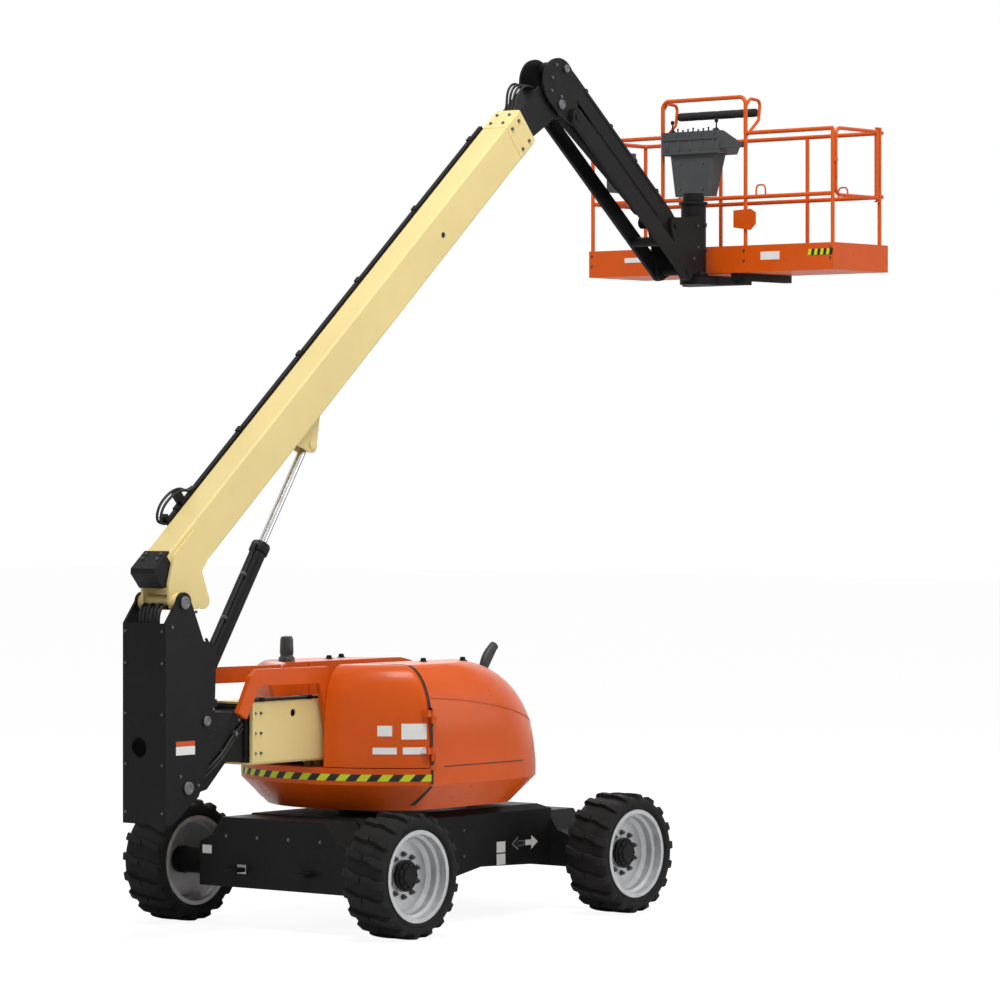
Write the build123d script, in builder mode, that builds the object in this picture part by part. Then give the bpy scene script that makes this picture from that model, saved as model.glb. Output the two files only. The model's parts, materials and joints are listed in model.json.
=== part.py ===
from build123d import *
import os
from math import cos, radians, sin, sqrt

os.makedirs("parts", exist_ok=True)

# Articulating boom lift, in millimetres. X runs from the upright towards the platform, Y to the
# left, Z up from the floor. The origin lies on the floor below the middle of the whole machine.
# Places written as (x, z) or (x, y) are counted from the slew axis, which stands at SLEW_X.
SLEW_X = -885.0

# ---- chassis ----
WHEELBASE = 2480.0
TRACK = 2120.0            # from tyre middle to tyre middle
TYRE_RADIUS = 445.0       # out to the tips of the lugs
TYRE_WIDTH = 360.0
LUG_HEIGHT = 30.0
LUGS_ROUND = 18
TREAD_FLAT = 150.0        # from the tyre's middle to where the shoulder starts
SHOULDER_DROP = 34.0
RIM_RADIUS = 325.0
RIM_WIDTH = 330.0
RIM_WALL = 12.0
HUB_RADIUS = 98.0
HUB_FACE = 88.0           # hub's end, outboard of the tyre's middle
SPINDLE_RADIUS = 45.0
FRAME_HALF = 540.0
FRAME_TOP = 800.0
FRAME_BOTTOM = 300.0
BEAM_HALF = 190.0         # half an axle beam, fore and aft
KINGPIN_Y = 790.0
KINGPIN_RADIUS = 25.0
YOKE_HALF = 62.0
YOKE_LOW = 290.0
YOKE_HIGH = 600.0
YOKE_PLATE = 40.0
LUG_BORE = 28.0           # tie-down eyes
LUG_PLATE = 30.0
TIE_DOWN_Z = 420.0
TIE_DOWN_Y = 330.0
SLEW_RING_RADIUS = 470.0
SLEW_RING_BORE = 330.0
SWIVEL_RADIUS = 120.0
PIN_FIT = 0.05            # radial clearance of every hinge pin
RUNNING_GAP = 6.0         # between faces that move past each other

# ---- turntable ----
PAN_BOTTOM = 850.0
BELT_LOW = 1040.0
BELT_TOP = 1160.0
FRONT_RADIUS = 1180.0     # round front, struck from the slew axis
HOOD_HALF = 915.0
TAIL_X = 1025.0
CORNER_RADIUS = 120.0
UNDERCUT = 190.0          # how far the pan draws in to its foot
COUNTERWEIGHT_X = 330.0
HOOD_TOP = 1890.0
HOOD_WALL = 28.0
SEAM_X = -745.0
SEAM_GAP = 8.0
TROUGH_HALF = 255.0
CHEEK_OUT = 240.0
CHEEK_PLATE = 24.0

# ---- tower boom ----
TOWER_PIVOT = (800.0, 1480.0)
TOWER_PIN_RADIUS = 40.0
TOWER_MOUTH_X = -1840.0
TOWER_Z = 1430.0          # middle of the tube as it lies stowed
TOWER_HIGH = 440.0
TOWER_WIDE = 380.0
TOWER_WALL = 14.0
SLIDE_GAP = 9.0
TOWER_TAIL_X = 720.0
TOWER_FLY_BACK = 600.0    # x of the inner tube's far end, stowed
UPRIGHT_FOOT = (-2500.0, 1085.0)
FOOT_PIN_RADIUS = 35.0
NECK_WIDE = 300.0

# ---- upright ----
UPRIGHT_BACK = -2720.0
UPRIGHT_BOTTOM = 840.0
UPRIGHT_COVER_TOP = 2225.0
UPRIGHT_HALF = 205.0
UPRIGHT_PLATE = 20.0
BOOM_PIVOT = (-2535.0, 2365.0)
BOOM_PIN_RADIUS = 35.0
BOOM_CYLINDER_FOOT = (-2316.0, 1540.0)

# ---- main boom, along and across from its pivot ----
BOOM_ANGLE = 40.8
BOOM_HIGH = 300.0
BOOM_WIDE = 230.0
BOOM_WALL = 10.0
BOOM_LOW = -4.0           # underside, across from the pivot
BOOM_LENGTH = 5225.0
BOOM_BACK = 150.0
ROD_EAR = (1830.0, -130.0)
FLY_GAP = 9.0
FLY_BACK = 650.0
FLY_TUBE_END = 5185.0
LEVEL_PIVOT = (5644.0, 27.0)
LEVEL_PIN_RADIUS = 30.0

# ---- jib and levelling link, from the level pivot, unturned ----
JIB_ANGLE = -39.2
JIB_LENGTH = 1800.0
UPPER_PIN = (60.0, 277.0)
LOWER_PIN = (164.0, -88.0)
JIB_CYLINDER_FOOT = (130.0, -60.0)
LINK_HEAD = (-20.0, 165.0)
LINK_HEAD_RADIUS = 190.0
JIB_PIN_RADIUS = 25.0
JIB_ROD_EYE = (1650.0, -100.0)    # along and across from the upper pin
LINK_PLATE_IN = 104.0
LINK_PLATE = 18.0
UPPER_LINK_HALF = 88.0
UPPER_LINK_HIGH = 170.0
LOWER_BAR_IN = 128.0
LOWER_BAR = 30.0
LOWER_BAR_HIGH = 130.0

# ---- platform, from the slew axis ----
ROTATOR_X = 3560.0
ROTATOR_RADIUS = 100.0
ROTATOR_LOW = 4830.0
ROTATOR_HIGH = 5420.0
ROTATOR_PIN = 40.0
FLOOR_Z = 4855.0
FLOOR_THICK = 45.0
PLATFORM_NEAR = 3760.0
PLATFORM_DEEP = 750.0
PLATFORM_LONG = 2440.0
TOE_HIGH = 215.0
TOE_PLATE = 6.0
RAIL_RADIUS = 17.0
RAIL_TOP = 5965.0
RAIL_MIDDLE = 5455.0
HOOP_TOP = 6255.0
PAD_Z = 6140.0
LOOP_RADIUS = 13.0


def side_plane(x=0.0, z=0.0, angle=0.0, y=0.0):
    """Plane for a side profile: drawn forward and up, looking from the right."""
    turn = radians(angle)
    return Plane(origin=(SLEW_X + x, y, z), x_dir=(cos(turn), 0, sin(turn)), z_dir=(0, -1, 0))


def placed(start, angle, point):
    """A point given along and across a member that starts at start and rises at angle."""
    turn = radians(angle)
    along, across = point
    x = start[0] + along * cos(turn) - across * sin(turn)
    z = start[1] + along * sin(turn) + across * cos(turn)
    return (x, z)


def aim(start, end):
    """Length and rise in degrees of the line from start to end."""
    line = Vector(end[0] - start[0], end[1] - start[1])
    return line.length, line.get_signed_angle(Vector(1, 0), Vector(0, 0, -1))


def save(part, name):
    part.label = name
    export_step(part, f"parts/{name}.step")
    print(f"{name:22s} solids {len(part.solids())}  litres {part.volume / 1e6:9.2f}")


# ================= wheels =================
AXLE_X = WHEELBASE / 2
TYRE_Y = TRACK / 2
HALF_RIM = RIM_WIDTH / 2
SEAT = RIM_RADIUS - 18.0          # radius of the bead seats
WELL = SEAT - 22.0


def wheel_plane(end, side):
    """Plane through the tyre's middle whose Z points outboard: end is -1 or 1 along X."""
    return Plane(origin=(SLEW_X + end * AXLE_X, side * TYRE_Y, TYRE_RADIUS),
                 x_dir=(1, 0, 0), z_dir=(0, side, 0))


def profile_plane(end, side):
    """Plane for a wheel's section: X is the radius and Y points outboard."""
    base = wheel_plane(end, side)
    return Plane(origin=base.origin, x_dir=base.x_dir, z_dir=base.x_dir.cross(base.z_dir))


def tread_points(drop):
    """Outline of the lugs and the gaps between them, drawn in by a drop."""
    pitch = 360.0 / LUGS_ROUND
    points = []
    for number in range(LUGS_ROUND):
        # share of the pitch, depth below the lugs' tips
        for share, depth in ((-0.02, 0.0), (0.52, 0.0), (0.58, LUG_HEIGHT), (0.92, LUG_HEIGHT)):
            angle = radians(pitch * (number + share))
            radius = TYRE_RADIUS - depth - drop
            points.append((radius * cos(angle), radius * sin(angle)))
    return points


for end, end_name in ((-1, "front"), (1, "rear")):
    for side, side_name in ((-1, "right"), (1, "left")):
        hub_plane = wheel_plane(end, side)
        section = profile_plane(end, side)
        spin = Axis(hub_plane.origin, hub_plane.z_dir)
        with BuildPart() as tyre:
            # each half has its own ring of lugs, mirrored and so half a lug apart
            for way in (-1, 1):
                base = Plane(origin=hub_plane.origin, x_dir=hub_plane.x_dir,
                             z_dir=hub_plane.z_dir * way)
                with BuildSketch(base):
                    with BuildLine():
                        Polyline(*tread_points(0.0), close=True)
                    make_face()
                extrude(amount=TREAD_FLAT)
                for place, drop in ((TREAD_FLAT, 0.0), (TYRE_WIDTH / 2, SHOULDER_DROP)):
                    with BuildSketch(base.offset(place)):
                        with BuildLine():
                            Polyline(*tread_points(drop), close=True)
                        make_face()
                loft(ruled=True)
            with BuildSketch(hub_plane):
                Circle(SEAT)
            extrude(amount=TYRE_WIDTH, both=True, mode=Mode.SUBTRACT)
            for way in (-1, 1):
                with BuildSketch(hub_plane.offset(way * (HALF_RIM - 14))):
                    Circle(RIM_RADIUS)
                extrude(amount=way * TYRE_WIDTH, mode=Mode.SUBTRACT)
        save(tyre.part, f"tyre_{end_name}_{side_name}")

        with BuildPart() as rim:
            with BuildSketch(section):
                with BuildLine():
                    Polyline((RIM_RADIUS, HALF_RIM), (RIM_RADIUS, HALF_RIM - 14),
                             (SEAT, HALF_RIM - 14), (SEAT, 100), (WELL, 88), (WELL, -88),
                             (SEAT, -100), (SEAT, -HALF_RIM + 14),
                             (RIM_RADIUS, -HALF_RIM + 14), (RIM_RADIUS, -HALF_RIM),
                             (SEAT - RIM_WALL, -HALF_RIM), (SEAT - RIM_WALL, -106),
                             (WELL - RIM_WALL, -94), (WELL - RIM_WALL, 2), (HUB_RADIUS, 2),
                             (HUB_RADIUS, 20), (WELL - 40, 20), (WELL - RIM_WALL, 44),
                             (WELL - RIM_WALL, 94), (SEAT - RIM_WALL, 106),
                             (SEAT - RIM_WALL, HALF_RIM), close=True)
                make_face()
            revolve(axis=spin)
        save(rim.part, f"rim_{end_name}_{side_name}")

        with BuildPart() as hub:
            with BuildSketch(section):
                with BuildLine():
                    Polyline((0, 4), (0, HUB_FACE), (HUB_RADIUS - 38, HUB_FACE),
                             (HUB_RADIUS - 12, HUB_FACE - 14), (HUB_RADIUS, HUB_FACE - 40),
                             (HUB_RADIUS, -50), (SPINDLE_RADIUS + PIN_FIT, -50),
                             (SPINDLE_RADIUS + PIN_FIT, 4), close=True)
                make_face()
            revolve(axis=spin)
        save(hub.part, f"hub_{end_name}_{side_name}")

# ================= steering knuckles =================
HUB_BACK = TYRE_Y - 50.0          # hub's inboard face
SPINDLE_END = TYRE_Y - 4.0
for side, side_name in ((-1, "right"), (1, "left")):
    with BuildPart() as knuckle:
        low = YOKE_LOW + YOKE_PLATE + RUNNING_GAP
        high = YOKE_HIGH - YOKE_PLATE - RUNNING_GAP
        with BuildSketch(Plane.XY.offset(low)):
            with Locations((SLEW_X - AXLE_X, side * KINGPIN_Y)):
                Circle(YOKE_HALF - 6)
        extrude(amount=high - low)
        across = Plane(origin=(SLEW_X - AXLE_X, side * KINGPIN_Y, TYRE_RADIUS),
                       x_dir=(1, 0, 0), z_dir=(0, side, 0))
        with BuildSketch(across):
            Circle(HUB_RADIUS - 6)
        extrude(amount=HUB_BACK - RUNNING_GAP - KINGPIN_Y)
        with BuildSketch(across):
            Circle(SPINDLE_RADIUS)
        extrude(amount=SPINDLE_END - KINGPIN_Y)
        with BuildSketch(Plane.XY.offset(low)):
            with Locations((SLEW_X - AXLE_X, side * KINGPIN_Y)):
                Circle(KINGPIN_RADIUS + PIN_FIT)
        extrude(amount=high - low, mode=Mode.SUBTRACT)
    save(knuckle.part, f"knuckle_{side_name}")

# ================= axles and frame =================
AXLE_SHOULDER = 600.0             # half the deep part of the beam
with BuildPart() as front_axle:
    with BuildSketch(Plane.YZ.offset(SLEW_X - AXLE_X - BEAM_HALF + 30)):
        with BuildLine():
            Polyline((-FRAME_HALF + 40, FRAME_TOP - 10), (FRAME_HALF - 40, FRAME_TOP - 10),
                     (AXLE_SHOULDER, 660), (KINGPIN_Y - 70, YOKE_HIGH),
                     (KINGPIN_Y - 70, YOKE_LOW), (-KINGPIN_Y + 70, YOKE_LOW),
                     (-KINGPIN_Y + 70, YOKE_HIGH), (-AXLE_SHOULDER, 660), close=True)
        make_face()
    extrude(amount=2 * BEAM_HALF - 60)
    for side in (-1, 1):
        for z in (YOKE_LOW, YOKE_HIGH - YOKE_PLATE):
            with BuildSketch(Plane.XY.offset(z)):
                with Locations((SLEW_X - AXLE_X, side * (KINGPIN_Y - 50))):
                    Rectangle(2 * YOKE_HALF, 100)
                with Locations((SLEW_X - AXLE_X, side * KINGPIN_Y)):
                    Circle(YOKE_HALF - 12)
            extrude(amount=YOKE_PLATE)
        with BuildSketch(Plane.XY.offset(YOKE_LOW)):
            with Locations((SLEW_X - AXLE_X, side * KINGPIN_Y)):
                Circle(KINGPIN_RADIUS)
        extrude(amount=YOKE_HIGH - YOKE_LOW)
save(front_axle.part, "front_axle")

with BuildPart() as rear_axle:
    with BuildSketch(Plane.YZ.offset(SLEW_X + AXLE_X - BEAM_HALF + 30)):
        with BuildLine():
            Polyline((-FRAME_HALF + 40, FRAME_TOP - 60), (FRAME_HALF - 40, FRAME_TOP - 60),
                     (AXLE_SHOULDER, 600), (KINGPIN_Y - 60, 560), (KINGPIN_Y - 60, 330),
                     (-KINGPIN_Y + 60, 330), (-KINGPIN_Y + 60, 560), (-AXLE_SHOULDER, 600),
                     close=True)
        make_face()
    extrude(amount=2 * BEAM_HALF - 60)
    with BuildSketch(side_plane(AXLE_X, TYRE_RADIUS)):
        Circle(HUB_RADIUS - 6)
    extrude(amount=HUB_BACK - RUNNING_GAP, both=True)
    with BuildSketch(side_plane(AXLE_X, TYRE_RADIUS)):
        Circle(SPINDLE_RADIUS)
    extrude(amount=SPINDLE_END, both=True)
save(rear_axle.part, "rear_axle")

FRAME_END = AXLE_X - BEAM_HALF + 30      # frame butts against the axle beams
with BuildPart() as frame:
    with BuildSketch(side_plane()):
        with BuildLine():
            Polyline((-FRAME_END, FRAME_BOTTOM), (-150, FRAME_BOTTOM), (260, 375),
                     (FRAME_END, 350), (FRAME_END, FRAME_TOP - 40), (FRAME_END - 120, FRAME_TOP),
                     (-FRAME_END, FRAME_TOP), close=True)
        make_face()
    extrude(amount=FRAME_HALF, both=True)
    with BuildSketch(Plane.XY.offset(FRAME_TOP)):
        with Locations((SLEW_X, 0)):
            Circle(SWIVEL_RADIUS + 60)
    extrude(amount=-130, mode=Mode.SUBTRACT)
    with BuildSketch(Plane.XY.offset(FRAME_TOP - 130)):
        with Locations((SLEW_X, 0)):
            Circle(SWIVEL_RADIUS + 60)
            Circle(SWIVEL_RADIUS + PIN_FIT, mode=Mode.SUBTRACT)
    extrude(amount=60)
    edges_up = frame.edges().filter_by(Axis.X).group_by(Axis.Z)[-1]
    chamfer(edges_up, length=40)
save(frame.part, "chassis_frame")

with BuildPart() as tie_downs:
    for end in (-1, 1):
        face_x = SLEW_X + end * (AXLE_X + BEAM_HALF - 30)
        for side in (-1, 1):
            with BuildSketch(Plane.XY.offset(TIE_DOWN_Z - LUG_PLATE / 2)):
                with Locations((face_x + end * 35, side * TIE_DOWN_Y)):
                    Rectangle(70, 120)
                with Locations((face_x + end * 70, side * TIE_DOWN_Y)):
                    Circle(60)
                    Circle(LUG_BORE, mode=Mode.SUBTRACT)
            extrude(amount=LUG_PLATE)
save(tie_downs.part, "tie_down_lugs")

with BuildPart() as slew_ring:
    with BuildSketch(Plane.XY.offset(FRAME_TOP)):
        with Locations((SLEW_X, 0)):
            Circle(SLEW_RING_RADIUS)
            Circle(SLEW_RING_BORE, mode=Mode.SUBTRACT)
    extrude(amount=PAN_BOTTOM - FRAME_TOP - RUNNING_GAP)
save(slew_ring.part, "slew_ring")


# ================= turntable =================
def hood_outline(z, front, half, tail, corner=CORNER_RADIUS):
    """Plan of the turntable at one height: round front, straight sides, round tail."""
    corner_x = -sqrt(front**2 - half**2)
    with BuildSketch(Plane(origin=(SLEW_X, 0, z))) as plan:
        with BuildLine():
            ThreePointArc((corner_x, half), (-front, 0), (corner_x, -half))
            Line((corner_x, -half), (tail - half, -half))
            ThreePointArc((tail - half, -half), (tail, 0), (tail - half, half))
            Line((tail - half, half), (corner_x, half))
        make_face()
        fillet(plan.vertices().group_by(Axis.X)[0], corner)
    return plan.sketch


def pan_body(part_x_low, part_x_high):
    """The turntable's pan between two places along X."""
    with BuildPart() as body:
        loft([hood_outline(PAN_BOTTOM, FRONT_RADIUS - UNDERCUT, HOOD_HALF - UNDERCUT,
                           TAIL_X - UNDERCUT).faces()[0],
              hood_outline(BELT_LOW, FRONT_RADIUS, HOOD_HALF, TAIL_X).faces()[0]])
        add(hood_outline(BELT_LOW, FRONT_RADIUS, HOOD_HALF, TAIL_X))
        extrude(amount=BELT_TOP - BELT_LOW)
        with BuildSketch(Plane.XY.offset(PAN_BOTTOM)):
            with Locations((SLEW_X + (part_x_low + part_x_high) / 2, 0)):
                Rectangle(part_x_high - part_x_low, 3 * HOOD_HALF)
        extrude(amount=BELT_TOP - PAN_BOTTOM, mode=Mode.INTERSECT)
    return body.part


TOWER_WELL = (-1000.0, 270.0)     # slot in the pan for the tower's lift cylinder
WELL_FLOOR = 900.0
WELL_HALF = 130.0
TOWER_CYLINDER_FOOT = (200.0, 970.0)
TOWER_EAR = (-930.0, 1145.0)
CYLINDER_PIN = 25.0

with BuildPart() as pan:
    add(pan_body(-2 * FRONT_RADIUS, COUNTERWEIGHT_X))
    with BuildSketch(Plane.XY.offset(WELL_FLOOR)):
        with Locations((SLEW_X + (TOWER_WELL[0] + TOWER_WELL[1]) / 2, 0)):
            Rectangle(TOWER_WELL[1] - TOWER_WELL[0], 2 * WELL_HALF)
    extrude(amount=BELT_TOP - WELL_FLOOR, mode=Mode.SUBTRACT)
    with BuildSketch(side_plane(*TOWER_CYLINDER_FOOT)):
        Circle(CYLINDER_PIN)
    extrude(amount=WELL_HALF, both=True)
    with BuildSketch(Plane.XY.offset(PAN_BOTTOM)):
        with Locations((SLEW_X, 0)):
            Circle(SWIVEL_RADIUS)
    extrude(amount=FRAME_TOP - 130 - PAN_BOTTOM)
save(pan.part, "turntable_pan")

with BuildPart() as counterweight:
    add(pan_body(COUNTERWEIGHT_X + 1, 2 * TAIL_X))
save(counterweight.part, "counterweight")

with BuildPart() as cheeks:
    with BuildSketch(side_plane(y=-CHEEK_OUT + CHEEK_PLATE)):
        with BuildLine():
            Polyline((-980, BELT_TOP), (TOWER_PIVOT[0] + 130, BELT_TOP),
                     (TOWER_PIVOT[0] + 130, 1560), (TOWER_PIVOT[0] + 60, 1690),
                     (TOWER_PIVOT[0] - 80, 1700), (300, 1560), (-980, 1400), close=True)
        make_face()
    extrude(amount=CHEEK_PLATE)
    mirror(about=Plane.XZ)
    with BuildSketch(side_plane(*TOWER_PIVOT)):
        Circle(TOWER_PIN_RADIUS)
    extrude(amount=CHEEK_OUT + 8, both=True)
save(cheeks.part, "tower_cheeks")

# height, front radius, half width, tail: the hood draws in as it rises, most at the tail
HOOD_SECTIONS = (
    (BELT_TOP, FRONT_RADIUS - 2, HOOD_HALF - 2, TAIL_X - 2),
    (1300.0, FRONT_RADIUS - 6, HOOD_HALF - 5, TAIL_X - 24),
    (1600.0, FRONT_RADIUS - 22, HOOD_HALF - 25, TAIL_X - 165),
    (1770.0, FRONT_RADIUS - 60, HOOD_HALF - 85, TAIL_X - 360),
    (HOOD_TOP, FRONT_RADIUS - 175, HOOD_HALF - 215, TAIL_X - 700),
)


def hood_loft(inset):
    """The hood's outside, or with an inset the space inside it."""
    top = HOOD_SECTIONS[-1][0]
    low = HOOD_SECTIONS[0][0]
    with BuildPart() as body:
        faces = []
        for z, front, half, tail in HOOD_SECTIONS:
            lower = z - inset * (z - low) / (top - low)
            if z == low:
                lower = z - inset
            faces.append(hood_outline(lower, front - inset, half - inset,
                                      tail - inset).faces()[0])
        loft(faces)
    return body.part


hood_outside = hood_loft(0.0)
hood_inside = hood_loft(HOOD_WALL)


def hood_piece(x_low, x_high, side, z_low):
    """The part of the hood between two places along X, on one side of the trough."""
    with BuildPart() as piece:
        add(hood_outside)
        with BuildSketch(Plane.XY.offset(z_low)):
            with Locations((SLEW_X + (x_low + x_high) / 2, side * (TROUGH_HALF + HOOD_HALF))):
                Rectangle(x_high - x_low, 2 * HOOD_HALF)
        extrude(amount=HOOD_TOP, mode=Mode.INTERSECT)
        with BuildPart(mode=Mode.PRIVATE) as room:
            add(hood_inside)
            with BuildSketch(Plane.XY.offset(BELT_TOP - 200)):
                with Locations((SLEW_X, side * (TROUGH_HALF + HOOD_WALL + HOOD_HALF))):
                    Rectangle(4 * FRONT_RADIUS, 2 * HOOD_HALF)
            extrude(amount=HOOD_TOP, mode=Mode.INTERSECT)
        add(room.part, mode=Mode.SUBTRACT)
    return piece.part


# ---- hood doors, each hung on two hinges just outside the seam ----
HINGE_X = SEAM_X + SEAM_GAP / 2
HINGE_Y = HOOD_HALF + 14.0
HINGE_HEIGHTS = (1215.0, 1480.0)
KNUCKLE_RADIUS = 12.0
KNUCKLE_HIGH = 46.0
HINGE_PIN = 6.0


def knuckles(side, leaf_way, lift):
    """Hinge knuckles with their leaves: leaf_way is -1 for the door and 1 for the cowl."""
    with BuildPart() as pair:
        for z in HINGE_HEIGHTS:
            with BuildSketch(Plane.XY.offset(z + lift)):
                with Locations((SLEW_X + HINGE_X, side * HINGE_Y)):
                    Circle(KNUCKLE_RADIUS)
                with Locations((SLEW_X + HINGE_X + leaf_way * 32, side * (HINGE_Y - 28))):
                    Rectangle(44, 56)
                with Locations((SLEW_X + HINGE_X + leaf_way * 8, side * HINGE_Y)):
                    Rectangle(16, 8)
            extrude(amount=KNUCKLE_HIGH)
    return pair.part


def hinge_rod(side, radius, low, high):
    """Round bars on the hinge's axis between two heights above each hinge's foot."""
    with BuildPart() as rods:
        for z in HINGE_HEIGHTS:
            with BuildSketch(Plane.XY.offset(z + low)):
                with Locations((SLEW_X + HINGE_X, side * HINGE_Y)):
                    Circle(radius)
            extrude(amount=high - low)
    return rods.part


for side, side_name in ((-1, "right"), (1, "left")):
    with BuildPart() as door:
        add(hood_piece(-2 * FRONT_RADIUS, SEAM_X, side, BELT_TOP + RUNNING_GAP))
        add(knuckles(side, -1, KNUCKLE_HIGH + 3))
        add(hinge_rod(side, HINGE_PIN + PIN_FIT, 0, 3 * KNUCKLE_HIGH), mode=Mode.SUBTRACT)
    save(door.part, f"hood_door_{side_name}")
    with BuildPart() as cowl:
        add(hood_piece(SEAM_X + SEAM_GAP, 2 * TAIL_X, side, BELT_TOP))
        add(knuckles(side, 1, 0))
        add(hinge_rod(side, HINGE_PIN, 0, 2 * KNUCKLE_HIGH + 10))
    save(cowl.part, f"hood_cowl_{side_name}")

# x low, x high, y low, y high, top
ENGINE = (-520.0, 250.0, HOOD_HALF - 605.0, HOOD_HALF - 215.0, 1560.0)
with BuildPart() as engine:
    with BuildSketch(Plane.XY.offset(BELT_TOP)):
        with Locations((SLEW_X + (ENGINE[0] + ENGINE[1]) / 2, (ENGINE[2] + ENGINE[3]) / 2)):
            Rectangle(ENGINE[1] - ENGINE[0], ENGINE[3] - ENGINE[2])
    extrude(amount=ENGINE[4] - BELT_TOP)
save(engine.part, "engine_block")

BEACON_PLACE = (-830.0, 390.0)
with BuildPart() as beacon:
    with BuildSketch(Plane.XY.offset(HOOD_TOP)):
        with Locations((SLEW_X + BEACON_PLACE[0], BEACON_PLACE[1])):
            Circle(62)
    extrude(amount=40)
    with BuildSketch(Plane.XY.offset(HOOD_TOP + 40)):
        with Locations((SLEW_X + BEACON_PLACE[0], BEACON_PLACE[1])):
            Circle(48)
    extrude(amount=150, taper=4)
save(beacon.part, "beacon")

EXHAUST_PLACE = (975.0, 30.0)
with BuildPart() as exhaust:
    with BuildLine() as pipe:
        FilletPolyline((SLEW_X + EXHAUST_PLACE[0], EXHAUST_PLACE[1], BELT_TOP),
                       (SLEW_X + EXHAUST_PLACE[0], EXHAUST_PLACE[1], 1780),
                       (SLEW_X + EXHAUST_PLACE[0] + 130, EXHAUST_PLACE[1], 1955), radius=120)
    with BuildSketch(Plane(origin=pipe.line @ 0, z_dir=pipe.line % 0)):
        Circle(28)
    sweep(path=pipe.line)
    with BuildSketch(Plane.XY.offset(BELT_TOP + 380)):
        with Locations((SLEW_X + EXHAUST_PLACE[0], EXHAUST_PLACE[1] - 70)):
            RectangleRounded(90, 220, 20)
    extrude(amount=150)
save(exhaust.part, "exhaust_stack")

GUARD_IN, GUARD_OUT = 212.0, 249.0
with BuildPart() as guard:
    with BuildSketch(side_plane(y=-GUARD_IN)):
        with BuildLine():
            Polyline((-982, 1180), (-982, 1400), (-1090, 1880), (-1840, 1884), (-1905, 1836),
                     (-2035, 1590), (-1945, 1540), (-1830, 1748), (-1790, 1768),
                     (-1190, 1765), (-1085, 1400), (-1085, 1180), close=True)
        make_face()
    extrude(amount=GUARD_OUT - GUARD_IN)
    mirror(about=Plane.XZ)
save(guard.part, "front_guard")


# ================= cylinders =================
def cylinder_barrel(start, end, length, radius, bore, rod_radius, eye_half, pin_radius):
    """Barrel with its eye at start, pointing at end; the rod runs in the head's bushing."""
    rise = aim(start, end)[1]
    plane = Plane(origin=(SLEW_X + start[0], 0, start[1]),
                  x_dir=(0, 1, 0), z_dir=(cos(radians(rise)), 0, sin(radians(rise))))
    with BuildPart() as barrel:
        with BuildSketch(plane.offset(radius * 0.5)):
            Circle(radius)
        extrude(amount=length - radius * 0.5)
        with BuildSketch(plane.offset(length - 60)):
            Circle(radius + 5)
        extrude(amount=60)
        with BuildSketch(side_plane(start[0], start[1])):
            Circle(radius * 0.95)
        extrude(amount=eye_half, both=True)
        with BuildSketch(plane.offset(radius + 18)):
            Circle(bore)
        extrude(amount=length - radius - 18 - 50, mode=Mode.SUBTRACT)
        with BuildSketch(plane.offset(length - 60)):
            Circle(rod_radius + PIN_FIT)
        extrude(amount=70, mode=Mode.SUBTRACT)
        with BuildSketch(side_plane(start[0], start[1])):
            Circle(pin_radius + PIN_FIT)
        extrude(amount=2 * eye_half, both=True, mode=Mode.SUBTRACT)
    return barrel.part


def cylinder_rod(start, end, length, radius, piston, eye_radius, eye_half, pin_radius):
    """Rod whose eye stands at end, reaching back length towards start, with its piston."""
    span, rise = aim(start, end)
    plane = Plane(origin=(SLEW_X + start[0], 0, start[1]),
                  x_dir=(0, 1, 0), z_dir=(cos(radians(rise)), 0, sin(radians(rise))))
    with BuildPart() as rod:
        with BuildSketch(plane.offset(span - length)):
            Circle(radius)
        extrude(amount=length - eye_radius * 0.5)
        with BuildSketch(plane.offset(span - length)):
            Circle(piston)
        extrude(amount=60)
        with BuildSketch(side_plane(end[0], end[1])):
            Circle(eye_radius)
        extrude(amount=eye_half, both=True)
        with BuildSketch(side_plane(end[0], end[1])):
            Circle(pin_radius)
        extrude(amount=2 * eye_half, both=True, mode=Mode.SUBTRACT)
    return rod.part


EYE_SIDE_GAP = 8.0

# ---- tower lift cylinder ----
TOWER_BARREL = 1088.0
TOWER_ROD = 1058.0
TOWER_BARREL_RADIUS = 55.0
TOWER_ROD_RADIUS = 30.0
TOWER_EYE_HALF = 36.0
save(cylinder_barrel(TOWER_CYLINDER_FOOT, TOWER_EAR, TOWER_BARREL, TOWER_BARREL_RADIUS, 44,
                     TOWER_ROD_RADIUS, 60, CYLINDER_PIN), "tower_lift_barrel")
save(cylinder_rod(TOWER_CYLINDER_FOOT, TOWER_EAR, TOWER_ROD, TOWER_ROD_RADIUS, 44 - PIN_FIT,
                  42, TOWER_EYE_HALF, CYLINDER_PIN), "tower_lift_rod")

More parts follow.
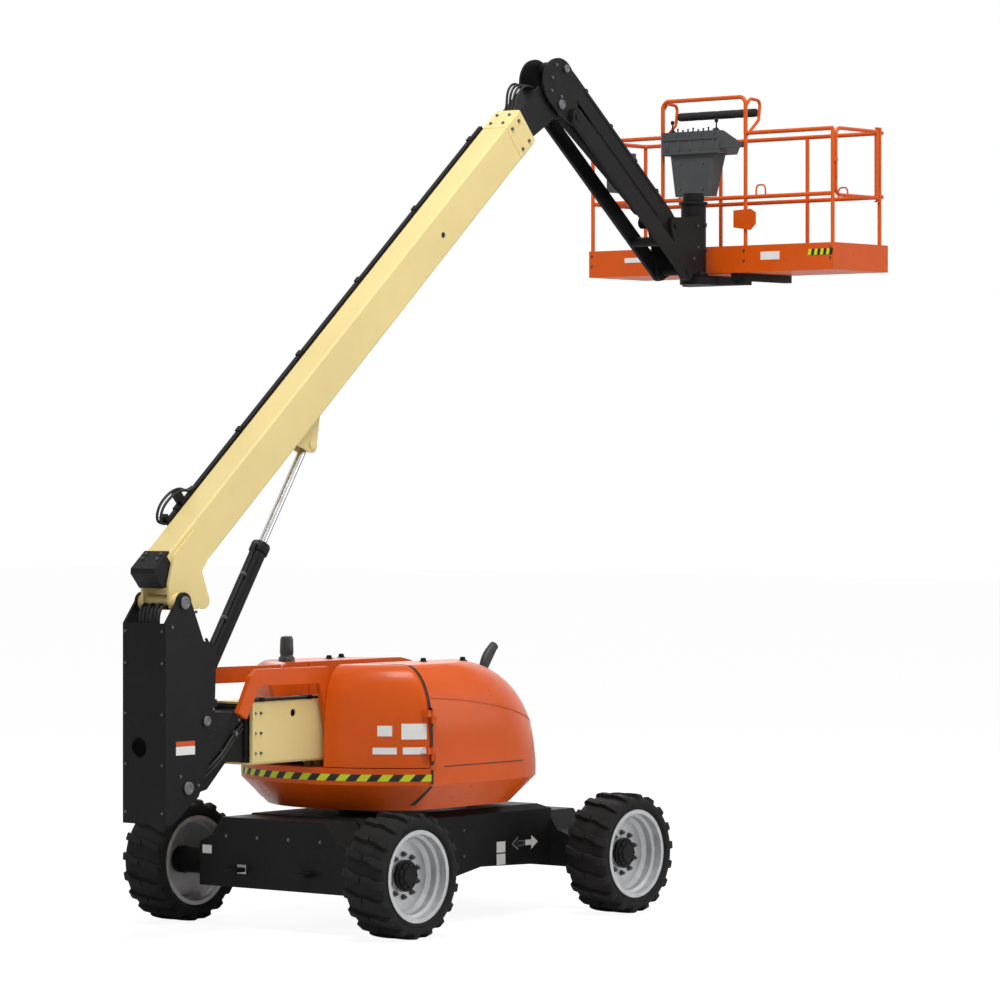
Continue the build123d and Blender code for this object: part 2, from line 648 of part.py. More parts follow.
# ================= tower boom =================
TOWER_HALF = TOWER_WIDE / 2
TOWER_LOW = TOWER_Z - TOWER_HIGH / 2
with BuildPart() as tower:
    tube_middle = ((TOWER_MOUTH_X + TOWER_TAIL_X) / 2, TOWER_Z)
    with BuildSketch(Plane.YZ.offset(SLEW_X + TOWER_MOUTH_X)):
        with Locations((0, TOWER_Z)):
            RectangleRounded(TOWER_WIDE, TOWER_HIGH, 22)
            RectangleRounded(TOWER_WIDE - 2 * TOWER_WALL, TOWER_HIGH - 2 * TOWER_WALL, 12,
                             mode=Mode.SUBTRACT)
    extrude(amount=TOWER_TAIL_X - TOWER_MOUTH_X)
    with BuildSketch(Plane.YZ.offset(SLEW_X + TOWER_MOUTH_X)):
        with Locations((0, TOWER_Z)):
            Rectangle(2 * (GUARD_IN - 8), TOWER_HIGH - 30)
            RectangleRounded(TOWER_WIDE - 2 * TOWER_WALL, TOWER_HIGH - 2 * TOWER_WALL, 12,
                             mode=Mode.SUBTRACT)
    extrude(amount=25)
    # side plates that carry the pivot behind the tube
    with BuildSketch(side_plane(y=-TOWER_HALF + 26)):
        with BuildLine():
            Polyline((TOWER_FLY_BACK + 30, TOWER_LOW + 30), (TOWER_TAIL_X, TOWER_LOW + 30),
                     (TOWER_PIVOT[0] + 20, TOWER_PIVOT[1] - 120),
                     (TOWER_PIVOT[0] + 20, TOWER_PIVOT[1] + 120),
                     (TOWER_TAIL_X, TOWER_LOW + TOWER_HIGH - 30),
                     (TOWER_FLY_BACK + 30, TOWER_LOW + TOWER_HIGH - 30), close=True)
        make_face()
        with Locations(TOWER_PIVOT):
            Circle(122)
    extrude(amount=26)
    with BuildSketch(side_plane(*TOWER_PIVOT, y=-TOWER_HALF + 26)):
        Circle(75)
    extrude(amount=CHEEK_OUT - CHEEK_PLATE - RUNNING_GAP - TOWER_HALF + 26)
    mirror(about=Plane.XZ)
    with BuildSketch(side_plane(*TOWER_PIVOT)):
        Circle(TOWER_PIN_RADIUS + PIN_FIT)
    extrude(amount=CHEEK_OUT, both=True, mode=Mode.SUBTRACT)
    with BuildSketch(side_plane(-1400, 1560)):
        Circle(28)
    extrude(amount=CHEEK_OUT, mode=Mode.SUBTRACT)
save(tower.part, "tower_base")

TOWER_EAR_IN = TOWER_EYE_HALF + EYE_SIDE_GAP
with BuildPart() as tower_ears:
    with BuildSketch(side_plane(y=-TOWER_EAR_IN)):
        with BuildLine():
            Polyline((TOWER_EAR[0] - 110, TOWER_LOW), (TOWER_EAR[0] - 46, TOWER_EAR[1] - 10),
                     (TOWER_EAR[0] + 46, TOWER_EAR[1] - 10), (TOWER_EAR[0] + 46, TOWER_LOW),
                     close=True)
        make_face()
        with Locations(TOWER_EAR):
            Circle(44)
    extrude(amount=20)
    with BuildSketch(side_plane(*TOWER_EAR, y=-TOWER_EAR_IN)):
        Circle(CYLINDER_PIN)
    extrude(amount=32)
    mirror(about=Plane.XZ)
save(tower_ears.part, "tower_ears")

FLY_HALF = TOWER_HALF - TOWER_WALL - SLIDE_GAP
FLY_HIGH = TOWER_HIGH - 2 * TOWER_WALL - 2 * SLIDE_GAP
FLY_END = TOWER_MOUTH_X - 40
NECK_HALF = NECK_WIDE / 2
NECK_PLATE = 20.0
with BuildPart() as tower_fly:
    with BuildSketch(Plane.YZ.offset(SLEW_X + FLY_END)):
        with Locations((0, TOWER_Z)):
            RectangleRounded(2 * FLY_HALF, FLY_HIGH, 16)
            RectangleRounded(2 * FLY_HALF - 20, FLY_HIGH - 20, 8, mode=Mode.SUBTRACT)
    extrude(amount=TOWER_FLY_BACK - FLY_END)
    with BuildSketch(Plane.YZ.offset(SLEW_X + FLY_END)):
        with Locations((0, TOWER_Z)):
            RectangleRounded(2 * FLY_HALF, FLY_HIGH, 16)
    extrude(amount=20)
    with BuildSketch(side_plane(y=-NECK_HALF + NECK_PLATE)):
        with BuildLine():
            Polyline((FLY_END + 10, 1622), (-1960, 1600), (-2160, 1390),
                     (UPRIGHT_FOOT[0] + 40, UPRIGHT_FOOT[1] + 78),
                     (UPRIGHT_FOOT[0] - 10, UPRIGHT_FOOT[1] - 78), (-2250, 1060), (-2060, 1238),
                     (FLY_END + 10, 1238), close=True)
        make_face()
        with Locations(UPRIGHT_FOOT):
            Circle(82)
    extrude(amount=NECK_PLATE)
    mirror(about=Plane.XZ)
    with BuildSketch(side_plane()):
        with BuildLine():
            Polyline((FLY_END + 10, 1600), (-1960, 1580), (-2160, 1370), (-2310, 1262),
                     (-2310, 1242), (-2150, 1350), (-1950, 1556), (FLY_END + 10, 1575),
                     close=True)
        make_face()
    extrude(amount=NECK_HALF, both=True)
    with BuildSketch(side_plane(*UPRIGHT_FOOT)):
        Circle(FOOT_PIN_RADIUS + 16)
    extrude(amount=UPRIGHT_HALF - UPRIGHT_PLATE - RUNNING_GAP, both=True)
    with BuildSketch(side_plane(*UPRIGHT_FOOT)):
        Circle(FOOT_PIN_RADIUS)
    extrude(amount=UPRIGHT_HALF + 10, both=True)
save(tower_fly.part, "tower_fly")

# ================= upright =================
LIFT_PIN = 30.0
COVER_HOLE = (50.0, 1364.0)       # y, z
COVER_HOLE_RADIUS = 70.0
with BuildPart() as upright:
    with BuildSketch(side_plane(y=-UPRIGHT_HALF + UPRIGHT_PLATE)):
        with BuildLine():
            Polyline((UPRIGHT_BACK, UPRIGHT_BOTTOM), (UPRIGHT_BACK, UPRIGHT_COVER_TOP),
                     (BOOM_PIVOT[0] - 70, BOOM_PIVOT[1] + 10),
                     (BOOM_PIVOT[0] + 60, BOOM_PIVOT[1] + 30), (-2339, 2096), (-2218, 2078),
                     (-2218, 1877), (-2228, 1578), (-2240, 1330), (-2390, 1020),
                     (-2650, UPRIGHT_BOTTOM), close=True)
        make_face()
        with Locations(BOOM_PIVOT):
            Circle(72)
    extrude(amount=UPRIGHT_PLATE)
    mirror(about=Plane.XZ)
    with BuildSketch(Plane.YZ.offset(SLEW_X + UPRIGHT_BACK)):
        with Locations((0, (UPRIGHT_BOTTOM + UPRIGHT_COVER_TOP) / 2)):
            Rectangle(2 * UPRIGHT_HALF - 2, UPRIGHT_COVER_TOP - UPRIGHT_BOTTOM)
        with Locations(COVER_HOLE):
            Circle(COVER_HOLE_RADIUS, mode=Mode.SUBTRACT)
    extrude(amount=UPRIGHT_PLATE)
    with BuildSketch(side_plane(*UPRIGHT_FOOT)):
        Circle(FOOT_PIN_RADIUS + PIN_FIT)
    extrude(amount=UPRIGHT_HALF, both=True, mode=Mode.SUBTRACT)
    with BuildSketch(side_plane(*BOOM_PIVOT)):
        Circle(BOOM_PIN_RADIUS + PIN_FIT)
    extrude(amount=UPRIGHT_HALF, both=True, mode=Mode.SUBTRACT)
    with BuildSketch(side_plane(*BOOM_CYLINDER_FOOT)):
        Circle(LIFT_PIN)
    extrude(amount=UPRIGHT_HALF + 10, both=True)
save(upright.part, "upright")

# ================= main boom =================
BOOM_HALF = BOOM_WIDE / 2
BOOM_TOP = BOOM_LOW + BOOM_HIGH
BOOM_MIDDLE = (BOOM_LOW + BOOM_TOP) / 2


def boom_point(along, across):
    """Place of a point of the main boom, from the slew axis."""
    return placed(BOOM_PIVOT, BOOM_ANGLE, (along, across))


def boom_plane(y=0.0):
    """Side plane of the main boom: drawn along and across from its pivot."""
    return side_plane(BOOM_PIVOT[0], BOOM_PIVOT[1], BOOM_ANGLE, y)


def boom_section(along):
    """Plane across the main boom: its X is the width and its Y the height."""
    place = boom_point(along, 0)
    turn = radians(BOOM_ANGLE)
    return Plane(origin=(SLEW_X + place[0], 0, place[1]), x_dir=(0, 1, 0),
                 z_dir=(cos(turn), 0, sin(turn)))


with BuildPart() as boom:
    with BuildSketch(boom_section(BOOM_BACK)):
        with Locations((0, BOOM_MIDDLE)):
            RectangleRounded(BOOM_WIDE, BOOM_HIGH, 16)
            RectangleRounded(BOOM_WIDE - 2 * BOOM_WALL, BOOM_HIGH - 2 * BOOM_WALL, 8,
                             mode=Mode.SUBTRACT)
    extrude(amount=BOOM_LENGTH - BOOM_BACK)
save(boom.part, "boom_base")

with BuildPart() as boom_cap:
    with BuildSketch(boom_plane()):
        with BuildLine():
            Polyline((-22, 168), (BOOM_BACK, 168), (BOOM_BACK, BOOM_LOW + 20),
                     (BOOM_BACK - 14, BOOM_LOW + 20), (BOOM_BACK - 14, 80), (40, 120),
                     (-22, 150), close=True)
        make_face()
    extrude(amount=BOOM_HALF, both=True)
    with BuildSketch(boom_plane()):
        with BuildLine():
            Polyline((-22, 168), (BOOM_BACK, 168), (BOOM_BACK, BOOM_TOP), (BOOM_BACK + 36, BOOM_TOP),
                     (BOOM_BACK + 36, BOOM_TOP + 14), (4, BOOM_TOP + 14), (-22, BOOM_TOP - 12),
                     close=True)
        make_face()
    extrude(amount=BOOM_HALF, both=True)
save(boom_cap.part, "boom_cap")

EAR_PLATE = 20.0
with BuildPart() as boom_ears:
    with BuildSketch(boom_plane(y=-BOOM_HALF)):
        with BuildLine():
            Polyline((470, 262), (190, 262), (20, 150), (-62, 40), (-62, -30), (120, -168),
                     (210, -229), (270, -169), (330, BOOM_LOW), (470, BOOM_LOW + 30), close=True)
        make_face()
        Circle(70)
        with Locations((210, -169)):
            Circle(60)
    extrude(amount=EAR_PLATE)
    with BuildSketch(boom_plane(y=-BOOM_HALF - EAR_PLATE)):
        Circle(64)
    extrude(amount=UPRIGHT_HALF - UPRIGHT_PLATE - RUNNING_GAP - BOOM_HALF - EAR_PLATE)
    mirror(about=Plane.XZ)
    with BuildSketch(boom_plane()):
        Circle(52)
        with Locations((210, -169)):
            Circle(34)
    extrude(amount=BOOM_HALF, both=True)
    with BuildSketch(boom_plane()):
        Circle(BOOM_PIN_RADIUS)
    extrude(amount=UPRIGHT_HALF + 10, both=True)
save(boom_ears.part, "boom_ears")

LIFT_EYE_HALF = 38.0
LIFT_EAR_IN = LIFT_EYE_HALF + EYE_SIDE_GAP
with BuildPart() as lift_bracket:
    with BuildSketch(boom_plane(y=-LIFT_EAR_IN)):
        with BuildLine():
            Polyline((1703, BOOM_LOW), (ROD_EAR[0] - 50, ROD_EAR[1] - 25),
                     (ROD_EAR[0] + 50, ROD_EAR[1] - 25), (2060, BOOM_LOW), close=True)
        make_face()
        with Locations(ROD_EAR):
            Circle(58)
    extrude(amount=22)
    with BuildSketch(side_plane(*boom_point(*ROD_EAR), y=-LIFT_EAR_IN)):
        Circle(LIFT_PIN)
    extrude(amount=34)
    mirror(about=Plane.XZ)
save(lift_bracket.part, "lift_bracket")

CARRIER = (500.0, 5020.0)         # where it starts and ends along the boom
with BuildPart() as hose_carrier:
    with BuildSketch(boom_section(CARRIER[0])):
        with Locations((BOOM_HALF + 21, BOOM_TOP - 12)):
            RectangleRounded(38, 56, 8)
    extrude(amount=CARRIER[1] - CARRIER[0])
    # straps that hold it to the boom's side
    for share in range(6):
        along = CARRIER[0] + 120 + share * (CARRIER[1] - CARRIER[0] - 300) / 5
        with BuildSketch(boom_section(along)):
            with Locations((BOOM_HALF + 22, BOOM_TOP - 42)):
                Rectangle(44, 130)
        extrude(amount=50)
save(hose_carrier.part, "hose_carrier")

LIFT_BARREL = 1448.0
LIFT_ROD = 1600.0
LIFT_BARREL_RADIUS = 60.0
LIFT_ROD_RADIUS = 30.0
save(cylinder_barrel(BOOM_CYLINDER_FOOT, boom_point(*ROD_EAR), LIFT_BARREL, LIFT_BARREL_RADIUS,
                     48, LIFT_ROD_RADIUS, 70, LIFT_PIN), "boom_lift_barrel")
save(cylinder_rod(BOOM_CYLINDER_FOOT, boom_point(*ROD_EAR), LIFT_ROD, LIFT_ROD_RADIUS,
                  48 - PIN_FIT, 45, LIFT_EYE_HALF, LIFT_PIN), "boom_lift_rod")

FLY_WALL = 8.0
BOOM_FLY_HALF = BOOM_HALF - BOOM_WALL - FLY_GAP
BOOM_FLY_HIGH = BOOM_HIGH - 2 * BOOM_WALL - 2 * FLY_GAP
FORK_OUT = BOOM_FLY_HALF - FLY_WALL
FORK_PLATE = 18.0
with BuildPart() as boom_fly:
    with BuildSketch(boom_section(FLY_BACK)):
        with Locations((0, BOOM_MIDDLE)):
            RectangleRounded(2 * BOOM_FLY_HALF, BOOM_FLY_HIGH, 12)
            RectangleRounded(2 * FORK_OUT, BOOM_FLY_HIGH - 2 * FLY_WALL, 4, mode=Mode.SUBTRACT)
    extrude(amount=FLY_TUBE_END - FLY_BACK)
    fork_low = BOOM_LOW + BOOM_WALL + FLY_GAP + FLY_WALL
    fork_high = fork_low + BOOM_FLY_HIGH - 2 * FLY_WALL
    with BuildSketch(boom_plane(y=-FORK_OUT + FORK_PLATE)):
        with BuildLine():
            Polyline((FLY_TUBE_END - 200, fork_low), (FLY_TUBE_END + 60, fork_low),
                     (LEVEL_PIVOT[0] - 10, LEVEL_PIVOT[1] - 73), (LEVEL_PIVOT[0] + 60, LEVEL_PIVOT[1] + 40),
                     (LEVEL_PIVOT[0] - 84, fork_high), (FLY_TUBE_END - 200, fork_high), close=True)
        make_face()
        with Locations(LEVEL_PIVOT):
            Circle(74)
    extrude(amount=FORK_PLATE)
    mirror(about=Plane.XZ)
    with BuildSketch(boom_section(FLY_TUBE_END - 60)):
        with Locations((0, fork_high - 8)):
            Rectangle(2 * FORK_OUT, 16)
    extrude(amount=400)
    with BuildSketch(boom_section(FLY_TUBE_END - 40)):
        with Locations((0, BOOM_MIDDLE)):
            Rectangle(2 * FORK_OUT, BOOM_FLY_HIGH - 2 * FLY_WALL)
    extrude(amount=12)
    with BuildSketch(side_plane(*boom_point(*LEVEL_PIVOT))):
        Circle(LEVEL_PIN_RADIUS)
    extrude(amount=LINK_PLATE_IN + LINK_PLATE + 10, both=True)
save(boom_fly.part, "boom_fly")

# ================= levelling link and jib =================
NOSE = boom_point(*LEVEL_PIVOT)
UPPER_AT = (NOSE[0] + UPPER_PIN[0], NOSE[1] + UPPER_PIN[1])
LOWER_AT = (NOSE[0] + LOWER_PIN[0], NOSE[1] + LOWER_PIN[1])
FOOT_AT = (NOSE[0] + JIB_CYLINDER_FOOT[0], NOSE[1] + JIB_CYLINDER_FOOT[1])
HEAD_AT = (NOSE[0] + LINK_HEAD[0], NOSE[1] + LINK_HEAD[1])
JIB_BARREL_RADIUS = 44.0
JIB_BORE = 34.0
JIB_EYE_HALF = 32.0
LINK_OUT = LINK_PLATE_IN + LINK_PLATE
LOWER_OUT = LOWER_BAR_IN + LOWER_BAR


def link_plates(half_in, thick, circles):
    """A pair of plates, each the hull of circles given as (place, radius)."""
    with BuildPart() as plates:
        with BuildSketch(side_plane(y=-half_in)):
            for place, radius in circles:
                with Locations(place):
                    Circle(radius)
            make_hull()
        extrude(amount=thick)
        mirror(about=Plane.XZ)
    return plates.part


with BuildPart() as level_link:
    add(link_plates(LINK_PLATE_IN, LINK_PLATE, ((NOSE, 72), (HEAD_AT, LINK_HEAD_RADIUS),
                                                (LOWER_AT, 62))))
    with BuildSketch(side_plane(*NOSE)):
        Circle(LEVEL_PIN_RADIUS + PIN_FIT)
    extrude(amount=LINK_OUT, both=True, mode=Mode.SUBTRACT)
    with BuildSketch(side_plane(*LOWER_AT, y=-LINK_PLATE_IN)):
        Circle(JIB_PIN_RADIUS)
    extrude(amount=LOWER_OUT + 8 - LINK_PLATE_IN)
    mirror(about=Plane.XZ)
    with BuildSketch(side_plane(*UPPER_AT)):
        Circle(JIB_PIN_RADIUS)
    extrude(amount=LINK_OUT + 10, both=True)
    with BuildSketch(side_plane(*FOOT_AT)):
        Circle(JIB_PIN_RADIUS)
    extrude(amount=LINK_PLATE_IN, both=True)
save(level_link.part, "level_link")

LINK_SIDE = 12.0                  # thickness of the channel's walls
CHANNEL = (250.0, JIB_LENGTH - 80.0)       # where the channel is open below
EAR_IN = JIB_EYE_HALF + EYE_SIDE_GAP
with BuildPart() as upper_link:
    with BuildSketch(side_plane(*UPPER_AT, JIB_ANGLE)):
        with BuildLine():
            Polyline((0, -58), (430, -58), (560, -UPPER_LINK_HIGH / 2),
                     (JIB_LENGTH - 160, -UPPER_LINK_HIGH / 2), (JIB_LENGTH, -62),
                     (JIB_LENGTH, 62), (JIB_LENGTH - 160, UPPER_LINK_HIGH / 2),
                     (160, UPPER_LINK_HIGH / 2), (0, 62), close=True)
        make_face()
        with Locations((0, 0), (JIB_LENGTH, 0)):
            Circle(62)
    extrude(amount=UPPER_LINK_HALF, both=True)
    box_edges = upper_link.edges().filter_by(
        lambda edge: abs(edge.length - (JIB_LENGTH - 320)) < 1)
    fillet(box_edges, 14)
    with BuildSketch(side_plane(*UPPER_AT, JIB_ANGLE)):
        with Locations(((CHANNEL[0] + CHANNEL[1]) / 2, -LINK_SIDE)):
            Rectangle(CHANNEL[1] - CHANNEL[0], UPPER_LINK_HIGH)
    extrude(amount=UPPER_LINK_HALF - LINK_SIDE, both=True, mode=Mode.SUBTRACT)
    # ears for the rod's pin, with a stub on each
    with BuildSketch(side_plane(*UPPER_AT, JIB_ANGLE, y=-EAR_IN)):
        with Locations((JIB_ROD_EYE[0], -40)):
            Circle(60)
        with Locations(JIB_ROD_EYE):
            Circle(46)
        make_hull()
    extrude(amount=UPPER_LINK_HALF - EAR_IN)
    mirror(about=Plane.XZ)
    with BuildSketch(side_plane(*UPPER_AT, JIB_ANGLE)):
        with Locations((0, 0), (JIB_LENGTH, 0)):
            Circle(JIB_PIN_RADIUS + PIN_FIT)
    extrude(amount=UPPER_LINK_HALF, both=True, mode=Mode.SUBTRACT)
save(upper_link.part, "jib_upper_link")

CROSS_TUBE = (1400.0, -30.0)      # along and across from the lower pin
with BuildPart() as lower_link:
    with BuildSketch(side_plane(*LOWER_AT, JIB_ANGLE, y=-LOWER_BAR_IN)):
        SlotCenterToCenter(2 * JIB_LENGTH, LOWER_BAR_HIGH)
        with Locations((-JIB_LENGTH, 0)):
            Rectangle(2 * JIB_LENGTH, 4 * LOWER_BAR_HIGH, mode=Mode.SUBTRACT)
        Circle(LOWER_BAR_HIGH / 2)
        Circle(JIB_PIN_RADIUS + PIN_FIT, mode=Mode.SUBTRACT)
        with Locations((JIB_LENGTH, 0)):
            Circle(JIB_PIN_RADIUS + 1, mode=Mode.SUBTRACT)
    extrude(amount=LOWER_BAR)
    mirror(about=Plane.XZ)
    with BuildSketch(side_plane(*placed(LOWER_AT, JIB_ANGLE, CROSS_TUBE))):
        Circle(38)
    extrude(amount=LOWER_BAR_IN + 4, both=True)
save(lower_link.part, "jib_lower_link")

JIB_EYE_AT = placed(UPPER_AT, JIB_ANGLE, JIB_ROD_EYE)
JIB_BARREL = 1225.0
JIB_ROD = 1200.0
save(cylinder_barrel(FOOT_AT, JIB_EYE_AT, JIB_BARREL, JIB_BARREL_RADIUS, JIB_BORE, 22, 36,
                     JIB_PIN_RADIUS), "jib_lift_barrel")
save(cylinder_rod(FOOT_AT, JIB_EYE_AT, JIB_ROD, 22, JIB_BORE - PIN_FIT, 38, JIB_EYE_HALF,
                  JIB_PIN_RADIUS), "jib_lift_rod")

# ================= platform support =================
UPPER_END = placed(UPPER_AT, JIB_ANGLE, (JIB_LENGTH, 0))
LOWER_END = placed(LOWER_AT, JIB_ANGLE, (JIB_LENGTH, 0))
with BuildPart() as support:
    with BuildSketch(side_plane(y=-LINK_PLATE_IN)):
        with BuildLine():
            Polyline((UPPER_END[0] - 20, UPPER_END[1] + 62), (ROTATOR_X - 40, 5300),
                     (ROTATOR_X - 40, 4880), (LOWER_END[0], LOWER_END[1] - 60),
                     (LOWER_END[0] - 60, LOWER_END[1]), (UPPER_END[0] - 64, UPPER_END[1]),
                     close=True)
        make_face()
        with Locations(UPPER_END):
            Circle(66)
        with Locations(LOWER_END):
            Circle(62)
    extrude(amount=LINK_PLATE)
    mirror(about=Plane.XZ)
    with BuildSketch(Plane.XY.offset(ROTATOR_LOW)):
        with Locations((SLEW_X + ROTATOR_X, 0)):
            Circle(ROTATOR_RADIUS)
    extrude(amount=ROTATOR_HIGH - ROTATOR_LOW)
    with BuildSketch(Plane.XY.offset(4900)):
        with Locations((SLEW_X + ROTATOR_X - 60, 0)):
            Rectangle(60, 2 * LINK_OUT)
    extrude(amount=380)
    with BuildSketch(Plane.XY.offset(ROTATOR_LOW)):
        with Locations((SLEW_X + ROTATOR_X, 0)):
            Circle(ROTATOR_PIN + PIN_FIT)
    extrude(amount=ROTATOR_HIGH - ROTATOR_LOW, mode=Mode.SUBTRACT)
    with BuildSketch(side_plane(*UPPER_END)):
        Circle(JIB_PIN_RADIUS)
    extrude(amount=LINK_OUT + 10, both=True)
    with BuildSketch(side_plane(*LOWER_END)):
        Circle(JIB_PIN_RADIUS)
    extrude(amount=LOWER_OUT + 8, both=True)
save(support.part, "platform_support")

# ================= platform =================
HUB_TOP = ROTATOR_LOW - RUNNING_GAP
HUB_LOW = 4760.0
PLATFORM_FAR = PLATFORM_NEAR + PLATFORM_DEEP
ARM_Y = 250.0
with BuildPart() as bracket:
    with BuildSketch(Plane(origin=(SLEW_X, 0, HUB_LOW))):
        with BuildLine():
            Polyline((ROTATOR_X, -110), (PLATFORM_NEAR - 40, -130), (PLATFORM_NEAR + 60, -310),
                     (PLATFORM_NEAR + 160, -310), (PLATFORM_NEAR + 160, 310),
                     (PLATFORM_NEAR + 60, 310), (PLATFORM_NEAR - 40, 130), (ROTATOR_X, 110),
                     close=True)
        make_face()
        with Locations((ROTATOR_X, 0)):
            Circle(110)
    extrude(amount=HUB_TOP - HUB_LOW)
    for side in (-1, 1):
        with BuildSketch(Plane.XY.offset(HUB_LOW + 35)):
            with Locations((SLEW_X + (PLATFORM_NEAR + PLATFORM_FAR) / 2, side * ARM_Y)):
                Rectangle(PLATFORM_DEEP - 20, 70)
        extrude(amount=FLOOR_Z - HUB_LOW - 35)
    with BuildSketch(Plane.XY.offset(HUB_LOW)):
        with Locations((SLEW_X + ROTATOR_X, 0)):
            Circle(ROTATOR_PIN)
    extrude(amount=ROTATOR_HIGH + RUNNING_GAP - HUB_LOW)
    with BuildSketch(Plane.XY.offset(ROTATOR_HIGH + RUNNING_GAP)):
        with Locations((SLEW_X + ROTATOR_X, 0)):
            Circle(86)
    extrude(amount=60)
save(bracket.part, "platform_bracket")

with BuildPart() as floor:
    with BuildSketch(Plane.XY.offset(FLOOR_Z)):
        with Locations((SLEW_X + (PLATFORM_NEAR + PLATFORM_FAR) / 2, 0)):
            Rectangle(PLATFORM_DEEP, PLATFORM_LONG)
    extrude(amount=FLOOR_THICK)
save(floor.part, "platform_floor")

with BuildPart() as toe_boards:
    with BuildSketch(Plane.XY.offset(FLOOR_Z + FLOOR_THICK)):
        with Locations((SLEW_X + (PLATFORM_NEAR + PLATFORM_FAR) / 2, 0)):
            Rectangle(PLATFORM_DEEP, PLATFORM_LONG)
            Rectangle(PLATFORM_DEEP - 2 * TOE_PLATE, PLATFORM_LONG - 2 * TOE_PLATE,
                      mode=Mode.SUBTRACT)
    extrude(amount=TOE_HIGH - FLOOR_THICK)
save(toe_boards.part, "toe_boards")


def bar(start, end, radius):
    """Round bar between two places given as (x, y, z), x from the slew axis."""
    first = Vector(SLEW_X + start[0], start[1], start[2])
    line = Vector(SLEW_X + end[0], end[1], end[2]) - first
    with BuildPart() as rod:
        with BuildSketch(Plane(origin=first, z_dir=line)):
            Circle(radius)
        extrude(amount=line.length)
    return rod.part


NEAR_X = PLATFORM_NEAR + TOE_PLATE + RAIL_RADIUS
FAR_X = PLATFORM_FAR - TOE_PLATE - RAIL_RADIUS
END_Y = PLATFORM_LONG / 2 - TOE_PLATE - RAIL_RADIUS
GATE_POST_X = 4425.0
GATE_AXIS_X = GATE_POST_X - 40.0
GATE_RADIUS = 15.0
# x, y of each upright post
POSTS = ((NEAR_X, END_Y), (NEAR_X, 478.0), (NEAR_X, -350.0), (NEAR_X, -END_Y),
         (GATE_POST_X, -END_Y), (FAR_X, END_Y), (FAR_X, -450.0), (FAR_X, 420.0))
HOOP_Y = (-350.0, 478.0)          # posts that the hoop stands on
HOOP_REACH = 195.0                # how far the hoop's side loops reach over the console
# points (x, y) of each rail's line, then its height; the top rail is open at the console
AROUND = ((GATE_POST_X, -END_Y), (FAR_X, -END_Y), (FAR_X, END_Y), (NEAR_X, END_Y))
RAIL_LINES = (
    (AROUND + ((NEAR_X, -END_Y),), RAIL_MIDDLE),
    (AROUND + ((NEAR_X, HOOP_Y[1]),), RAIL_TOP),
)
with BuildPart() as rails:
    for line, height in RAIL_LINES:
        with BuildLine() as ring:
            FilletPolyline(*[(SLEW_X + x, y, height) for x, y in line], radius=45)
        with BuildSketch(Plane(origin=ring.line @ 0, z_dir=ring.line % 0)):
            Circle(RAIL_RADIUS)
        sweep(path=ring.line)
    with BuildSketch(Plane(origin=(SLEW_X + NEAR_X, -END_Y, RAIL_TOP), z_dir=(0, 1, 0))):
        Circle(RAIL_RADIUS)
    extrude(amount=END_Y + HOOP_Y[0])
    for x, y in POSTS:
        with BuildSketch(Plane.XY.offset(FLOOR_Z + FLOOR_THICK)):
            with Locations((SLEW_X + x, y)):
                Circle(RAIL_RADIUS - 1)
        extrude(amount=RAIL_TOP - FLOOR_Z - FLOOR_THICK)
    for z in (RAIL_MIDDLE - 45, RAIL_TOP + 27):
        with BuildSketch(Plane.XY.offset(z)):
            with Locations((SLEW_X + (GATE_AXIS_X + GATE_POST_X) / 2, -END_Y)):
                Rectangle(GATE_POST_X - GATE_AXIS_X + 24, 26)
        extrude(amount=12)
    with BuildSketch(Plane.XY.offset(RAIL_TOP - 5)):
        with Locations((SLEW_X + GATE_POST_X, -END_Y)):
            Circle(RAIL_RADIUS - 1)
    extrude(amount=40)
    for z, reach in ((RAIL_MIDDLE - 45, 45), (RAIL_TOP + 39, -45)):
        with BuildSketch(Plane.XY.offset(z)):
            with Locations((SLEW_X + GATE_AXIS_X, -END_Y)):
                Circle(7)
        extrude(amount=reach)
    with BuildLine() as hoop:
        FilletPolyline((SLEW_X + NEAR_X, HOOP_Y[0], RAIL_TOP), (SLEW_X + NEAR_X, HOOP_Y[0], HOOP_TOP),
                       (SLEW_X + NEAR_X, HOOP_Y[1], HOOP_TOP), (SLEW_X + NEAR_X, HOOP_Y[1], RAIL_TOP),
                       radius=60)
    with BuildSketch(Plane(origin=hoop.line @ 0, z_dir=hoop.line % 0)):
        Circle(RAIL_RADIUS)
    sweep(path=hoop.line)
    for y in HOOP_Y:
        with BuildLine() as loop:
            FilletPolyline((SLEW_X + NEAR_X, y, HOOP_TOP - 75),
                           (SLEW_X + NEAR_X + 60, y, HOOP_TOP - 12),
                           (SLEW_X + NEAR_X + HOOP_REACH, y, HOOP_TOP - 20),
                           (SLEW_X + NEAR_X + HOOP_REACH - 20, y, PAD_Z - 60),
                           (SLEW_X + NEAR_X, y, RAIL_TOP - 30), radius=40)
        with BuildSketch(Plane(origin=loop.line @ 0, z_dir=loop.line % 0)):
            Circle(LOOP_RADIUS)
        sweep(path=loop.line)
save(rails.part, "platform_rails")

